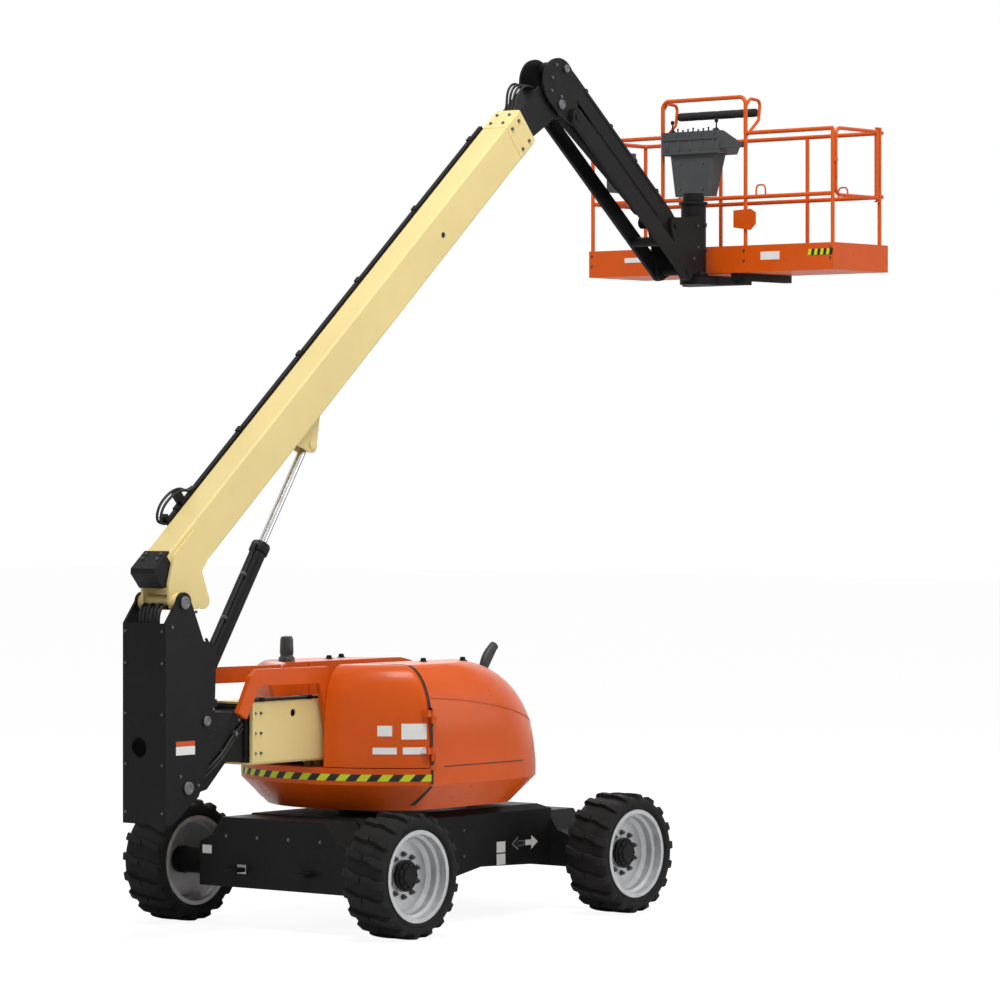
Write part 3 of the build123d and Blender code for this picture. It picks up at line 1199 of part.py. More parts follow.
GATE_FREE_X = NEAR_X + RAIL_RADIUS + GATE_RADIUS + 8
GATE_LOW = RAIL_MIDDLE - 25
GATE_TOP = RAIL_TOP + 20
with BuildPart() as gate:
    with BuildLine() as gate_line:
        FilletPolyline((SLEW_X + GATE_AXIS_X, -END_Y, GATE_LOW + 15),
                       (SLEW_X + GATE_FREE_X, -END_Y, GATE_LOW + 15),
                       (SLEW_X + GATE_FREE_X, -END_Y, GATE_TOP - 15),
                       (SLEW_X + GATE_AXIS_X, -END_Y, GATE_TOP - 15), radius=60)
    with BuildSketch(Plane(origin=gate_line.line @ 0, z_dir=gate_line.line % 0)):
        Circle(GATE_RADIUS)
    sweep(path=gate_line.line)
    with BuildSketch(Plane.XY.offset(GATE_LOW)):
        with Locations((SLEW_X + GATE_AXIS_X, -END_Y)):
            Circle(GATE_RADIUS + 3)
    extrude(amount=GATE_TOP - GATE_LOW)
    for z, reach in ((GATE_LOW, 45), (GATE_TOP, -45)):
        with BuildSketch(Plane.XY.offset(z)):
            with Locations((SLEW_X + GATE_AXIS_X, -END_Y)):
                Circle(7 + PIN_FIT)
        extrude(amount=reach, mode=Mode.SUBTRACT)
save(gate.part, "gate")

# ---- control console: a wide head on a body that narrows downwards ----
CONSOLE_NEAR = NEAR_X - 45.0
CONSOLE_Y = (-115.0, HOOP_Y[1] - RAIL_RADIUS - 6)
HEAD_LOW, HEAD_TOP = 5815.0, 6000.0
CONSOLE_FOOT = RAIL_MIDDLE + RAIL_RADIUS + 10
# height, depth, taken off each end
CONSOLE_BODY = ((CONSOLE_FOOT, 120.0, 110.0), (HEAD_LOW, 175.0, 62.0))
with BuildPart() as console:
    with BuildSketch(side_plane(y=CONSOLE_Y[1])):
        with BuildLine():
            Polyline((CONSOLE_NEAR, HEAD_LOW), (CONSOLE_NEAR + 250, HEAD_LOW),
                     (CONSOLE_NEAR + 290, HEAD_LOW + 60), (CONSOLE_NEAR + 290, HEAD_TOP - 80),
                     (CONSOLE_NEAR + 70, HEAD_TOP), (CONSOLE_NEAR, HEAD_TOP), close=True)
        make_face()
    extrude(amount=CONSOLE_Y[1] - CONSOLE_Y[0])
    for z, depth, inset in CONSOLE_BODY:
        with BuildSketch(Plane.XY.offset(z)):
            with Locations((SLEW_X + CONSOLE_NEAR + 20 + depth / 2,
                            (CONSOLE_Y[0] + CONSOLE_Y[1]) / 2)):
                RectangleRounded(depth, CONSOLE_Y[1] - CONSOLE_Y[0] - 2 * inset, 24)
    loft()
    # bracket to the hoop's free post
    with BuildSketch(Plane.XY.offset(HEAD_LOW + 40)):
        with Locations((SLEW_X + NEAR_X, (CONSOLE_Y[0] + HOOP_Y[0] + RAIL_RADIUS) / 2)):
            Rectangle(60, CONSOLE_Y[0] - HOOP_Y[0] - RAIL_RADIUS)
    extrude(amount=40)
save(console.part, "control_console")

PAD_X = NEAR_X + HOOP_REACH - 12
with BuildPart() as pad:
    add(bar((PAD_X, HOOP_Y[0] + LOOP_RADIUS + 4, PAD_Z), (PAD_X, HOOP_Y[1] - LOOP_RADIUS - 4, PAD_Z), 34))
save(pad.part, "padded_bar")

with BuildPart() as document_box:
    with BuildSketch(Plane.XY.offset(5560)):
        with Locations((SLEW_X + 4080, END_Y - RAIL_RADIUS - 46)):
            RectangleRounded(300, 88, 14)
    extrude(amount=330)
save(document_box.part, "document_box")
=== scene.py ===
import json
import math

import bmesh
import bpy
from mathutils import Matrix, Vector
from mathutils.bvhtree import BVHTree


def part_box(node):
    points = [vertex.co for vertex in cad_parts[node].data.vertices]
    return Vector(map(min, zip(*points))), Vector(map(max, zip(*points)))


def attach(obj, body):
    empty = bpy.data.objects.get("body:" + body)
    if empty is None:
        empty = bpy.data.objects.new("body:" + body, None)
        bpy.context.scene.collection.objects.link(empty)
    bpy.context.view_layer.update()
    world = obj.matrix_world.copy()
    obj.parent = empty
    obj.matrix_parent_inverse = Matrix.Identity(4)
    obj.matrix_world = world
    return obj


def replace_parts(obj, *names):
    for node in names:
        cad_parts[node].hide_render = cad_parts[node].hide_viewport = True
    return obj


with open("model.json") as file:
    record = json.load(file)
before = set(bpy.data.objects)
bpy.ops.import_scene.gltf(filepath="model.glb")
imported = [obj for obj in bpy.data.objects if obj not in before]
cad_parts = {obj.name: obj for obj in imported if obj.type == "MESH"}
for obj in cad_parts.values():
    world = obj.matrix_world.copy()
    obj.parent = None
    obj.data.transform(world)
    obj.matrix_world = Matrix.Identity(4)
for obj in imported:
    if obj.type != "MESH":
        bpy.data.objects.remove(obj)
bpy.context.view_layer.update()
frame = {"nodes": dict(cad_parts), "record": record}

nodes = frame["nodes"]
scene = bpy.context.scene

# Metres. X runs from the front axle to the tail, -Y is the right side, Z is up from the ground.
# Places given as (x, z) or through plan() count X from the slew axis.
SLEW_X = -0.885
RIGHT, LEFT = -1, 1
SIDES = ((RIGHT, "right"), (LEFT, "left"))
FRAME_SIDE = 0.540          # half width of the chassis frame
FRAME_END = 1.400           # its ends, from the slew axis
WHEEL_X, WHEEL_Y = 1.240, 1.060
KINGPIN_Y = 0.790
UPRIGHT_SIDE = 0.205        # outer face of the upright's side plates
UPRIGHT_BACK = -2.720
TOWER_TOP = 1.650
TOWER_SIDE = 0.190
NECK_SIDE = 0.150
BOOM_SIDE = 0.115
PLATFORM_NEAR, PLATFORM_FAR = 3.760, 4.510
RAIL_MIDDLE = 5.455
ROTATOR_X = 3.560
SUPPORT_SIDE = 0.122        # outer face of the support's and the levelling link's plates
BOOM_ANGLE, JIB_ANGLE = 40.8, -39.2


def plan(x, z, y=0.0):
    """Point given from the slew axis."""
    return Vector((x + SLEW_X, y, z))


def rising(place, angle):
    """Matrix of a member that starts at place and rises at angle: X along, Z across."""
    return Matrix.Translation(place) @ Matrix.Rotation(-math.radians(angle), 4, "Y")


def round_z(degrees):
    """Unit vector at an angle from +X round a plumb axis."""
    a = math.radians(degrees)
    return Vector((math.cos(a), math.sin(a), 0))


BOOM = rising(plan(-2.535, 2.365), BOOM_ANGLE)
NOSE = BOOM @ Vector((5.644, 0, 0.027))
UPPER_PIN = NOSE + Vector((0.060, 0, 0.277))
UPPER = rising(UPPER_PIN, JIB_ANGLE)
BOOM_CYLINDER_FOOT = plan(-2.316, 1.540)


# ---------------- camera, light, floor ----------------
def make_camera():
    """A long lens that stands low, well back from the front right corner, and looks level."""
    data = bpy.data.cameras.new("camera")
    data.lens = 162.0
    data.sensor_width = 36.0
    data.shift_y = -0.027
    data.clip_end = 400.0
    camera = bpy.data.objects.new("camera", data)
    scene.collection.objects.link(camera)
    camera.location = plan(-25.09, 3.26, -21.62)
    camera.rotation_euler = Vector((0.7716, 0.6361, 0.0)).to_track_quat("-Z", "Y").to_euler()
    scene.camera = camera


def lamp(name, place, aim_height, size, power):
    """Square area lamp that looks at a height on the world's axis."""
    data = bpy.data.lights.new(name, "AREA")
    data.shape = "SQUARE"
    data.size = size
    data.energy = power
    aim = (0, 0, aim_height)
    obj = bpy.data.objects.new(name, data)
    obj.location = place
    obj.rotation_euler = (Vector(aim) - Vector(place)).to_track_quat("-Z", "Y").to_euler()
    scene.collection.objects.link(obj)


def new_material(name):
    """A material with its node tree and its principled shader."""
    mat = bpy.data.materials.new(name)
    mat.use_nodes = True
    tree = mat.node_tree
    return mat, tree, tree.nodes["Principled BSDF"]


def make_world():
    """White for camera, glossy and transmitted rays, and a dimmer sky for all other light."""
    world = bpy.data.worlds.new("world")
    scene.world = world
    world.use_nodes = True
    tree = world.node_tree
    tree.nodes.clear()
    link = tree.links.new
    mix = tree.nodes.new("ShaderNodeMixShader")
    for number, strength in ((1, 0.27), (2, 1.0)):
        sky = tree.nodes.new("ShaderNodeBackground")
        sky.inputs["Color"].default_value = (1, 1, 1, 1)
        sky.inputs["Strength"].default_value = strength
        link(sky.outputs[0], mix.inputs[number])
    path = tree.nodes.new("ShaderNodeLightPath")
    seen = path.outputs["Is Camera Ray"]
    for ray in ("Is Transmission Ray", "Is Glossy Ray"):
        either = tree.nodes.new("ShaderNodeMath")
        either.operation = "MAXIMUM"
        link(seen, either.inputs[0])
        link(path.outputs[ray], either.inputs[1])
        seen = either.outputs[0]
    link(seen, mix.inputs["Fac"])
    out = tree.nodes.new("ShaderNodeOutputWorld")
    link(mix.outputs[0], out.inputs["Surface"])


def make_floor():
    """Wide floor that the camera sees as nearly white, with soft shadows on it."""
    half = 90.0
    mesh = bpy.data.meshes.new("floor")
    mesh.from_pydata([(-half, -half, 0), (half, -half, 0), (half, half, 0), (-half, half, 0)],
                     [], [(0, 1, 2, 3)])
    floor = bpy.data.objects.new("floor", mesh)
    floor.location.z = -0.002
    scene.collection.objects.link(floor)
    mat, tree, shader = new_material("floor")
    shader.inputs["Base Color"].default_value = (0.93, 0.93, 0.93, 1)
    shader.inputs["Roughness"].default_value = 0.95
    glow = tree.nodes.new("ShaderNodeEmission")
    glow.inputs["Color"].default_value = (1, 1, 1, 1)
    glow.inputs["Strength"].default_value = 1.15
    lit = tree.nodes.new("ShaderNodeMixShader")
    lit.inputs["Fac"].default_value = 0.80
    tree.links.new(shader.outputs[0], lit.inputs[1])
    tree.links.new(glow.outputs[0], lit.inputs[2])
    # only the camera sees the glow, so that the floor throws no light of its own
    shown = tree.nodes.new("ShaderNodeMixShader")
    path = tree.nodes.new("ShaderNodeLightPath")
    tree.links.new(path.outputs["Is Camera Ray"], shown.inputs["Fac"])
    tree.links.new(shader.outputs[0], shown.inputs[1])
    tree.links.new(lit.outputs[0], shown.inputs[2])
    tree.links.new(shown.outputs[0], tree.nodes["Material Output"].inputs["Surface"])
    mesh.materials.append(mat)


make_camera()
make_world()
make_floor()
lamp("key", (-5, -5, 17), 2.5, 7.0, 2250)
lamp("fill", (10, -15, 6), 2.5, 9.0, 520)
lamp("rim", (10, 12, 11), 3.5, 7.0, 700)
scene.view_settings.view_transform = "Standard"


# ---------------- materials ----------------
def noise(tree, scale, detail=4.0, rough=0.55):
    """Noise in the object's own coordinates."""
    node = tree.nodes.new("ShaderNodeTexNoise")
    node.inputs["Scale"].default_value = scale
    node.inputs["Detail"].default_value = detail
    node.inputs["Roughness"].default_value = rough
    coord = tree.nodes.get("coord") or tree.nodes.new("ShaderNodeTexCoord")
    coord.name = "coord"
    tree.links.new(coord.outputs["Object"], node.inputs["Vector"])
    return node


def ramp(tree, source, low, high, low_value, high_value):
    """Socket that maps source from low..high to low_value..high_value."""
    node = tree.nodes.new("ShaderNodeMapRange")
    node.inputs["From Min"].default_value = low
    node.inputs["From Max"].default_value = high
    node.inputs["To Min"].default_value = low_value
    node.inputs["To Max"].default_value = high_value
    tree.links.new(source, node.inputs["Value"])
    return node.outputs[0]


def mixed(tree, factor, first, second):
    """Colour between first and second, each a colour or a socket."""
    node = tree.nodes.new("ShaderNodeMix")
    node.data_type = "RGBA"
    tree.links.new(factor, node.inputs["Factor"])
    for socket, value in ((node.inputs[6], first), (node.inputs[7], second)):
        if isinstance(value, tuple):
            socket.default_value = value + (1.0,)
        else:
            tree.links.new(value, socket)
    return node.outputs[2]


def bumped(tree, shader, height, strength, distance):
    node = tree.nodes.new("ShaderNodeBump")
    node.inputs["Strength"].default_value = strength
    node.inputs["Distance"].default_value = distance
    tree.links.new(height, node.inputs["Height"])
    tree.links.new(node.outputs[0], shader.inputs["Normal"])


def paint(name, colour, rough, coat, dust, shade, gloss):
    """Sprayed enamel: its colour drifts down to shade, with a fine orange peel and dust specks."""
    mat, tree, shader = new_material(name)
    drift = noise(tree, 1.4, 3.0)
    dark = tuple(c * shade for c in colour)
    base = mixed(tree, ramp(tree, drift.outputs["Fac"], 0.3, 0.7, 0.0, 1.0), dark, colour)
    grime = noise(tree, 9.0, 6.0, 0.65)
    dusty = mixed(tree, ramp(tree, grime.outputs["Fac"], 0.52, 0.80, 0.0, dust), base,
                  (0.30, 0.26, 0.21))
    tree.links.new(dusty, shader.inputs["Base Color"])
    tree.links.new(ramp(tree, grime.outputs["Fac"], 0.3, 0.8, rough - 0.05, rough + 0.16),
                   shader.inputs["Roughness"])
    shader.inputs["Specular IOR Level"].default_value = gloss
    shader.inputs["Coat Weight"].default_value = coat
    shader.inputs["Coat Roughness"].default_value = 0.12
    fine = noise(tree, 140.0, 2.0)
    bumped(tree, shader, fine.outputs["Fac"], 0.25, 0.0006)
    return mat


def metal(name, colour, rough=0.25, metallic=1.0, streak=18.0):
    """Bare or silver-painted metal, a little uneven in tone and polish."""
    mat, tree, shader = new_material(name)
    fine = noise(tree, streak, 5.0, 0.7)
    dark = tuple(c * 0.75 for c in colour)
    tree.links.new(mixed(tree, ramp(tree, fine.outputs["Fac"], 0.3, 0.7, 0, 1), dark, colour),
                   shader.inputs["Base Color"])
    shader.inputs["Metallic"].default_value = metallic
    tree.links.new(ramp(tree, fine.outputs["Fac"], 0.3, 0.8, rough * 0.8, rough * 1.5),
                   shader.inputs["Roughness"])
    bumped(tree, shader, noise(tree, 260.0, 2.0).outputs["Fac"], 0.15, 0.0004)
    return mat


def moulded(name, colour, rough=0.6, grain=320.0, strength=0.35, dust=0.12, gloss=0.3):
    """Moulded plastic or rubber with a fine grain and pale dust in the hollows."""
    mat, tree, shader = new_material(name)
    cloud = noise(tree, 6.0, 5.0, 0.6)
    tree.links.new(mixed(tree, ramp(tree, cloud.outputs["Fac"], 0.45, 0.75, 0, dust), colour,
                         (0.22, 0.20, 0.17)), shader.inputs["Base Color"])
    tree.links.new(ramp(tree, cloud.outputs["Fac"], 0.3, 0.7, rough - 0.06, rough + 0.12),
                   shader.inputs["Roughness"])
    shader.inputs["Specular IOR Level"].default_value = gloss
    bumped(tree, shader, noise(tree, grain, 3.0).outputs["Fac"], strength, 0.0008)
    return mat


LOOKS = {
    "orange_paint": (paint, (0.70, 0.096, 0.004), 0.30, 0.10, 0.03, 0.86, 0.2),
    "cream_paint": (paint, (0.84, 0.68, 0.30), 0.40, 0.04, 0.05, 0.93, 0.2),
    "black_paint": (paint, (0.010, 0.010, 0.0105), 0.45, 0.0, 0.02, 0.75, 0.12),
    "rim_paint": (metal, (0.56, 0.57, 0.58), 0.42, 0.55),
    "tyre_rubber": (moulded, (0.012, 0.012, 0.0125), 0.72, 160.0, 0.4, 0.05, 0.15),
    "chrome_rod": (metal, (0.62, 0.63, 0.65), 0.16),
    "ring_steel": (metal, (0.16, 0.16, 0.17), 0.45),
    # the beacon's lens is smoked, so it looks dark when unlit
    "amber_lens": (moulded, (0.05, 0.05, 0.055), 0.3, 90.0, 0.1, 0.02),
    "grey_plastic": (moulded, (0.055, 0.06, 0.062), 0.55, 300.0, 0.3, 0.10),
    "foam_black": (moulded, (0.02, 0.02, 0.02), 0.85, 500.0, 0.5, 0.08),
    "engine_iron": (metal, (0.10, 0.10, 0.105), 0.6, 0.6),
    "exhaust_steel": (metal, (0.05, 0.05, 0.05), 0.5, 0.7),
    # looks that no CAD node has: hydraulic lines, and decals as plain films with no words
    "hose_black": (moulded, (0.011, 0.011, 0.011), 0.5, 400.0, 0.25, 0.03),
    "white_film": (moulded, (0.80, 0.80, 0.78), 0.45, 60.0, 0.05, 0.05),
    "yellow_film": (moulded, (0.60, 0.66, 0.02), 0.45, 60.0, 0.05, 0.05),
    "black_film": (moulded, (0.012, 0.012, 0.012), 0.5, 60.0, 0.05, 0.05),
    "grey_film": (moulded, (0.30, 0.30, 0.30), 0.5, 60.0, 0.05, 0.05),
}
MATERIALS = {name: make(name, *values) for name, (make, *values) in LOOKS.items()}
slot_of = {row["node"]: row["material_slot"] for row in frame["record"]["subparts"]}
for name, obj in nodes.items():
    obj.data.materials.clear()
    obj.data.materials.append(MATERIALS[slot_of[name]])


# ---------------- building pieces ----------------
def smooth_by_angle(obj, degrees):
    """Shade obj smooth but for edges sharper than degrees."""
    data = obj.data
    mesh = bmesh.new()
    mesh.from_mesh(data)
    limit = math.radians(degrees)
    for face in mesh.faces:
        face.smooth = True
    for edge in mesh.edges:
        edge.smooth = len(edge.link_faces) == 2 and edge.calc_face_angle(0.0) < limit
    mesh.to_mesh(data)
    mesh.free()


class Piece:
    """One visible piece: simple forms joined in one mesh, placed by a matrix, riding on a body."""

    def __init__(self, name, body, slot_name, at=None, bevel=0.0, smooth=35.0):
        self.name, self.body, self.slot_name = name, body, slot_name
        self.at = at or Matrix.Identity(4)
        self.bevel, self.smooth = bevel, smooth
        self.mesh = bmesh.new()

    def add(self, verts, faces):
        """Add faces in the piece's own axes. A face that is there already is left out."""
        made = [self.mesh.verts.new(self.at @ Vector(v)) for v in verts]
        for face in faces:
            try:
                self.mesh.faces.new([made[i] for i in face])
            except ValueError:
                pass

    def box(self, centre, size, turn=None):
        """Box round its centre, turned by a 3 x 3 matrix if one is given."""
        centre = Vector(centre)
        hx, hy, hz = (s / 2 for s in size)
        corners = [Vector((x * hx, y * hy, z * hz)) for x in (-1, 1) for y in (-1, 1)
                   for z in (-1, 1)]
        if turn is not None:
            corners = [turn @ c for c in corners]
        self.add([c + centre for c in corners],
                 [(0, 1, 3, 2), (4, 6, 7, 5), (0, 4, 5, 1), (2, 3, 7, 6), (0, 2, 6, 4),
                  (1, 5, 7, 3)])

    def bar(self, start, end, radius, sides=20):
        """Closed round bar between two points."""
        start, end = Vector(start), Vector(end)
        length = (end - start).length
        self.lathe(start, end - start, ((0.0, 0.0), (radius, 0.0), (radius, length),
                   (0.0, length)), sides)

    def lathe(self, origin, axis, profile, sides=32):
        """Turned form: profile is (radius, place along the axis), from one end to the other."""
        origin, axis = Vector(origin), Vector(axis).normalized()
        across = axis.orthogonal().normalized()
        other = axis.cross(across)
        rings = []
        verts = []
        for radius, along in profile:
            if radius < 1e-6:
                rings.append([len(verts)])
                verts.append(origin + axis * along)
                continue
            rings.append(list(range(len(verts), len(verts) + sides)))
            for k in range(sides):
                a = 2 * math.pi * k / sides
                verts.append(origin + axis * along + across * (radius * math.cos(a))
                             + other * (radius * math.sin(a)))
        faces = []
        for first, second in zip(rings, rings[1:]):
            for k in range(sides):
                n = (k + 1) % sides
                quad = [first[k % len(first)], first[n % len(first)],
                        second[n % len(second)], second[k % len(second)]]
                quad = list(dict.fromkeys(quad))
                if len(quad) > 2:
                    faces.append(quad)
        self.add(verts, faces)

    def slab(self, outline, thick, origin=(0, 0, 0), right=(1, 0, 0), up=(0, 0, 1)):
        """Flat plate from an outline drawn right and up; its thickness goes against right x up."""
        origin, right, up = Vector(origin), Vector(right), Vector(up)
        normal = right.cross(up).normalized()
        flat = [origin + right * a + up * b for a, b in outline]
        count = len(flat)
        verts = flat + [p - normal * thick for p in flat]
        faces = [tuple(range(count)), tuple(reversed(range(count, 2 * count)))]
        faces += [(i, i + count, (i + 1) % count + count, (i + 1) % count) for i in range(count)]
        self.add(verts, faces)

    def hexagon(self, centre, axis, across, height):
        """Hexagon bar from centre along axis: across is the size over its flats."""
        centre, axis = Vector(centre), Vector(axis).normalized()
        self.bar(centre, centre + axis * height, across / math.sqrt(3), 6)

    def bolt(self, centre, axis, size):
        """Bolt head on a washer."""
        centre, axis = Vector(centre), Vector(axis).normalized()
        self.bar(centre, centre + axis * size * 0.18, size * 0.72, 14)
        self.hexagon(centre + axis * size * 0.18, axis, size, size * 0.55)

    def done(self):
        """Make the object, give it its material and its body, and return it."""
        data = bpy.data.meshes.new(self.name)
        bmesh.ops.recalc_face_normals(self.mesh, faces=self.mesh.faces)
        self.mesh.to_mesh(data)
        self.mesh.free()
        obj = bpy.data.objects.new(self.name, data)
        scene.collection.objects.link(obj)
        data.materials.append(MATERIALS[self.slot_name])
        if self.bevel:
            mod = obj.modifiers.new("bevel", "BEVEL")
            mod.width = self.bevel
            mod.segments = 2
            mod.limit_method = "ANGLE"
            mod.angle_limit = math.radians(35)
        smooth_by_angle(obj, self.smooth)
        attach(obj, self.body)
        return obj


def steel(name, body, at=None):
    """Piece for screws, bolts and fittings."""
    return Piece(name, body, "ring_steel", at, smooth=30)


def side_bolts(piece, places, half, size):
    """Bolts at places (x, z) on both sides of a member, half its width out."""
    for side in (RIGHT, LEFT):
        for x, z in places:
            piece.bolt(plan(x, z, side * half), (0, side, 0), size)


def around(count, share=0.0):
    """Angles of count places round a circle, turned on by a share of a step."""
    return [2 * math.pi * (k + share) / count for k in range(count)]


def circle(count, radius, z=0.0, share=0.0):
    """Places round Z, in the same way."""
    return [Vector((radius * math.cos(a), radius * math.sin(a), z))
            for a in around(count, share)]


def spread(low, high, steps):
    """Places from low to high with both ends."""
    return [low + (high - low) * k / steps for k in range(steps + 1)]


# ---------------- wheels ----------------
TYRE_R = 0.445
TYRE_STEPS = 76
SIDEWALL_RINGS = (0.344, 0.362)
# carcass from the bead to the crown: radius, half width
CARCASS = ((0.308, 0.149), (0.326, 0.152), (0.334, 0.168), (0.352, 0.176), (0.372, 0.179),
           (0.392, 0.176), (0.404, 0.168), (0.411, 0.152), (0.414, 0.110), (0.415, 0.0))
# one lug from the crown to the shoulder: place across, radius of its top, half its length round,
# how far it leans, its depth
LUG = ((0.006, 0.4425, 0.017, -0.040, 0.035), (0.060, 0.4440, 0.019, -0.030, 0.035),
       (0.105, 0.4435, 0.022, -0.010, 0.035), (0.150, 0.4400, 0.026, 0.002, 0.035),
       (0.172, 0.4290, 0.027, 0.004, 0.035), (0.1795, 0.4080, 0.024, 0.004, 0.030),
       (0.1798, 0.3860, 0.020, 0.004, 0.014))
LUGS_ROUND = 18
LUG_FOOT = 0.008            # how much wider a lug is at its foot
LUG_REACH = 0.1775          # its foot stays within the carcass
NUTS, NUT_CIRCLE = 10, 0.150
HUB_BOLTS, HUB_CIRCLE = 8, 0.080
HUB = ((0.046, 0), (0.098, 0), (0.098, 0.092), (0.112, 0.092), (0.112, 0.104), (0.098, 0.108),
       (0.093, 0.122), (0.066, 0.126), (0.062, 0.136), (0.0, 0.138))


def make_tyre(name, body, at):
    """Carcass, two rings on the sidewall and two rows of lugs that meet in the middle."""
    tyre = Piece(f"tyre_shown_{name}", body, "tyre_rubber", at, smooth=40)
    outline = [(r, -h) for r, h in CARCASS] + [(r, h) for r, h in reversed(CARCASS[:-1])]
    verts = [place for r, h in outline for place in circle(TYRE_STEPS, r, h)]
    faces = []
    for row in range(len(outline)):
        first, second = row * TYRE_STEPS, (row + 1) % len(outline) * TYRE_STEPS
        for k in range(TYRE_STEPS):
            n = (k + 1) % TYRE_STEPS
            faces.append((first + k, first + n, second + n, second + k))
    tyre.add(verts, faces)
    for ring in SIDEWALL_RINGS:
        tyre.lathe((0, 0, 0.1735), (0, 0, 1), ((ring - 0.004, 0), (ring - 0.002, 0.0055),
                   (ring + 0.002, 0.0055), (ring + 0.004, 0)), 72)
    for row in (-1, 1):
        for middle in around(LUGS_ROUND, 0.25 * row):
            verts, faces = [], []
            for across, top, half, lean, depth in LUG:
                for radius, widen in ((top, 0.0), (top - depth, LUG_FOOT)):
                    for way in (-1, 1):
                        a = middle + (lean + way * (half + widen)) / TYRE_R * row
                        height = row * (across if radius == top else min(across, LUG_REACH))
                        verts.append((radius * math.cos(a), radius * math.sin(a), height))
            for k in range(len(LUG) - 1):
                a, b = 4 * k, 4 * k + 4
                faces += [(a, a + 1, b + 1, b), (a, b, b + 2, a + 2), (a + 1, a + 3, b + 3, b + 1)]
            last = 4 * (len(LUG) - 1)
            faces += [(0, 2, 3, 1), (last, last + 1, last + 3, last + 2)]
            tyre.add(verts, faces)
    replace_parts(tyre.done(), f"tyre_{name}")


def make_wheel(end, side, side_name):
    """Tyre, nuts and hub of one wheel, drawn with Z outboard."""
    name = f"{'front' if end < 0 else 'rear'}_{side_name}"
    body = f"wheel_{name}"
    centre = plan(WHEEL_X * end, TYRE_R, WHEEL_Y * side)
    at = Matrix.Translation(centre) @ Matrix.Rotation(-side * math.pi / 2, 4, "X")
    make_tyre(name, body, at)
    nuts = Piece(f"wheel_nuts_{name}", body, "ring_steel", at)
    for place in circle(NUTS, NUT_CIRCLE, 0.020, 0.5):
        nuts.bolt(place, (0, 0, 1), 0.030)
        nuts.bar(place, place + Vector((0, 0, 0.034)), 0.009, 10)
    nuts.done()
    hub = Piece(f"hub_shown_{name}", body, "black_paint", at, smooth=30)
    hub.lathe((0, 0, -0.050), (0, 0, 1), HUB, 48)
    for place in circle(HUB_BOLTS, HUB_CIRCLE, 0.073):
        hub.bolt(place, (0, 0, 1), 0.013)
    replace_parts(hub.done(), f"hub_{name}")


for end in (-1, 1):
    for side, side_name in SIDES:
        make_wheel(end, side, side_name)


# ---------------- stripes and blank decals ----------------
FILM_LIFT = 0.0016          # how far a film's middle stands off what carries it
FILM_THICK = 0.0012
MARK_THICK = 0.0014
FAR_OUT = 3.0               # rays start this far outside
trees = {}


def onto(node_name, start, direction):
    """First point of a CAD node met from start in a direction, and the surface's normal."""
    tree = trees.get(node_name)
    if tree is None:
        data = nodes[node_name].data
        tree = BVHTree.FromPolygons([v.co for v in data.vertices],
                                    [tuple(p.vertices) for p in data.polygons])
        trees[node_name] = tree
    place, normal, _, _ = tree.ray_cast(Vector(start), Vector(direction))
    return place, normal


def film(name, body, material, node_name, grid, lift=FILM_LIFT):
    """Thin film laid on a CAD surface: grid is rows of (start, direction) rays. A film with a ray
    that misses is left off."""
    verts, faces = [], []
    across = len(grid[0])
    for row in grid:
        for start, way in row:
            place, normal = onto(node_name, start, way)
            if place is None:
                return
            if normal.dot(Vector(way)) > 0:
                normal = -normal
            verts.append(place + normal * lift)
    for i in range(len(grid) - 1):
        for j in range(across - 1):
            a = i * across + j
            faces.append((a, a + 1, a + 1 + across, a + across))
    piece = Piece(name, body, material)
    piece.add(verts, faces)
    thick = piece.done().modifiers.new("thick", "SOLIDIFY")
    thick.thickness = FILM_THICK
    thick.offset = 0.0


def inwards(degrees, z):
    """Ray towards the slew axis at a height, from an angle round it."""
    out = round_z(degrees)
    return plan(0, z) + out * FAR_OUT, -out


def sideways(x, z, side):
    """Ray from one side of the machine towards its middle."""
    return plan(x, z, side * FAR_OUT), Vector((0, -side, 0))


def blank(name, body, material, node_name, low, high, axis):
    """Plain rectangle: low and high are (along, z) corners, and axis is "x" for a face met along X
    at places y, or "y" for a face of the right side met along Y at places x."""
    grid = []
    for z in spread(low[1], high[1], 8):
        row = []
        for along in spread(low[0], high[0], 8):
            row.append(sideways(along, z, RIGHT) if axis == "y"
                       else (plan(-2 * FAR_OUT, z, along), Vector((1, 0, 0))))
        grid.append(row)
    film(name, body, material, node_name, grid)


def hazard_belt():
    """Slanting black and yellow bars round the front of the turntable's belt."""
    radius, low_z, high_z = 1.1812, 1.070, 1.118
    reach = 51.0            # degrees each way from straight ahead
    bars, lean = 27, 0.55
    for colour, first in (("yellow_film", 0), ("black_film", 1)):
        piece = Piece(f"belt_{colour}", "turntable", colour)
        for k in range(first, bars, 2):
            quads = []
            for z, shift in ((low_z, 0.0), (high_z, lean)):
                for j in range(3):
                    part = min(max(k + shift + j / 2.0, 0.0), bars)
                    angle = 180 - reach + 2 * reach * part / bars
                    quads.append(plan(0, z) + round_z(angle) * radius)
            piece.add(quads, [(0, 1, 4, 3), (1, 2, 5, 4)])
        piece.done()


hazard_belt()


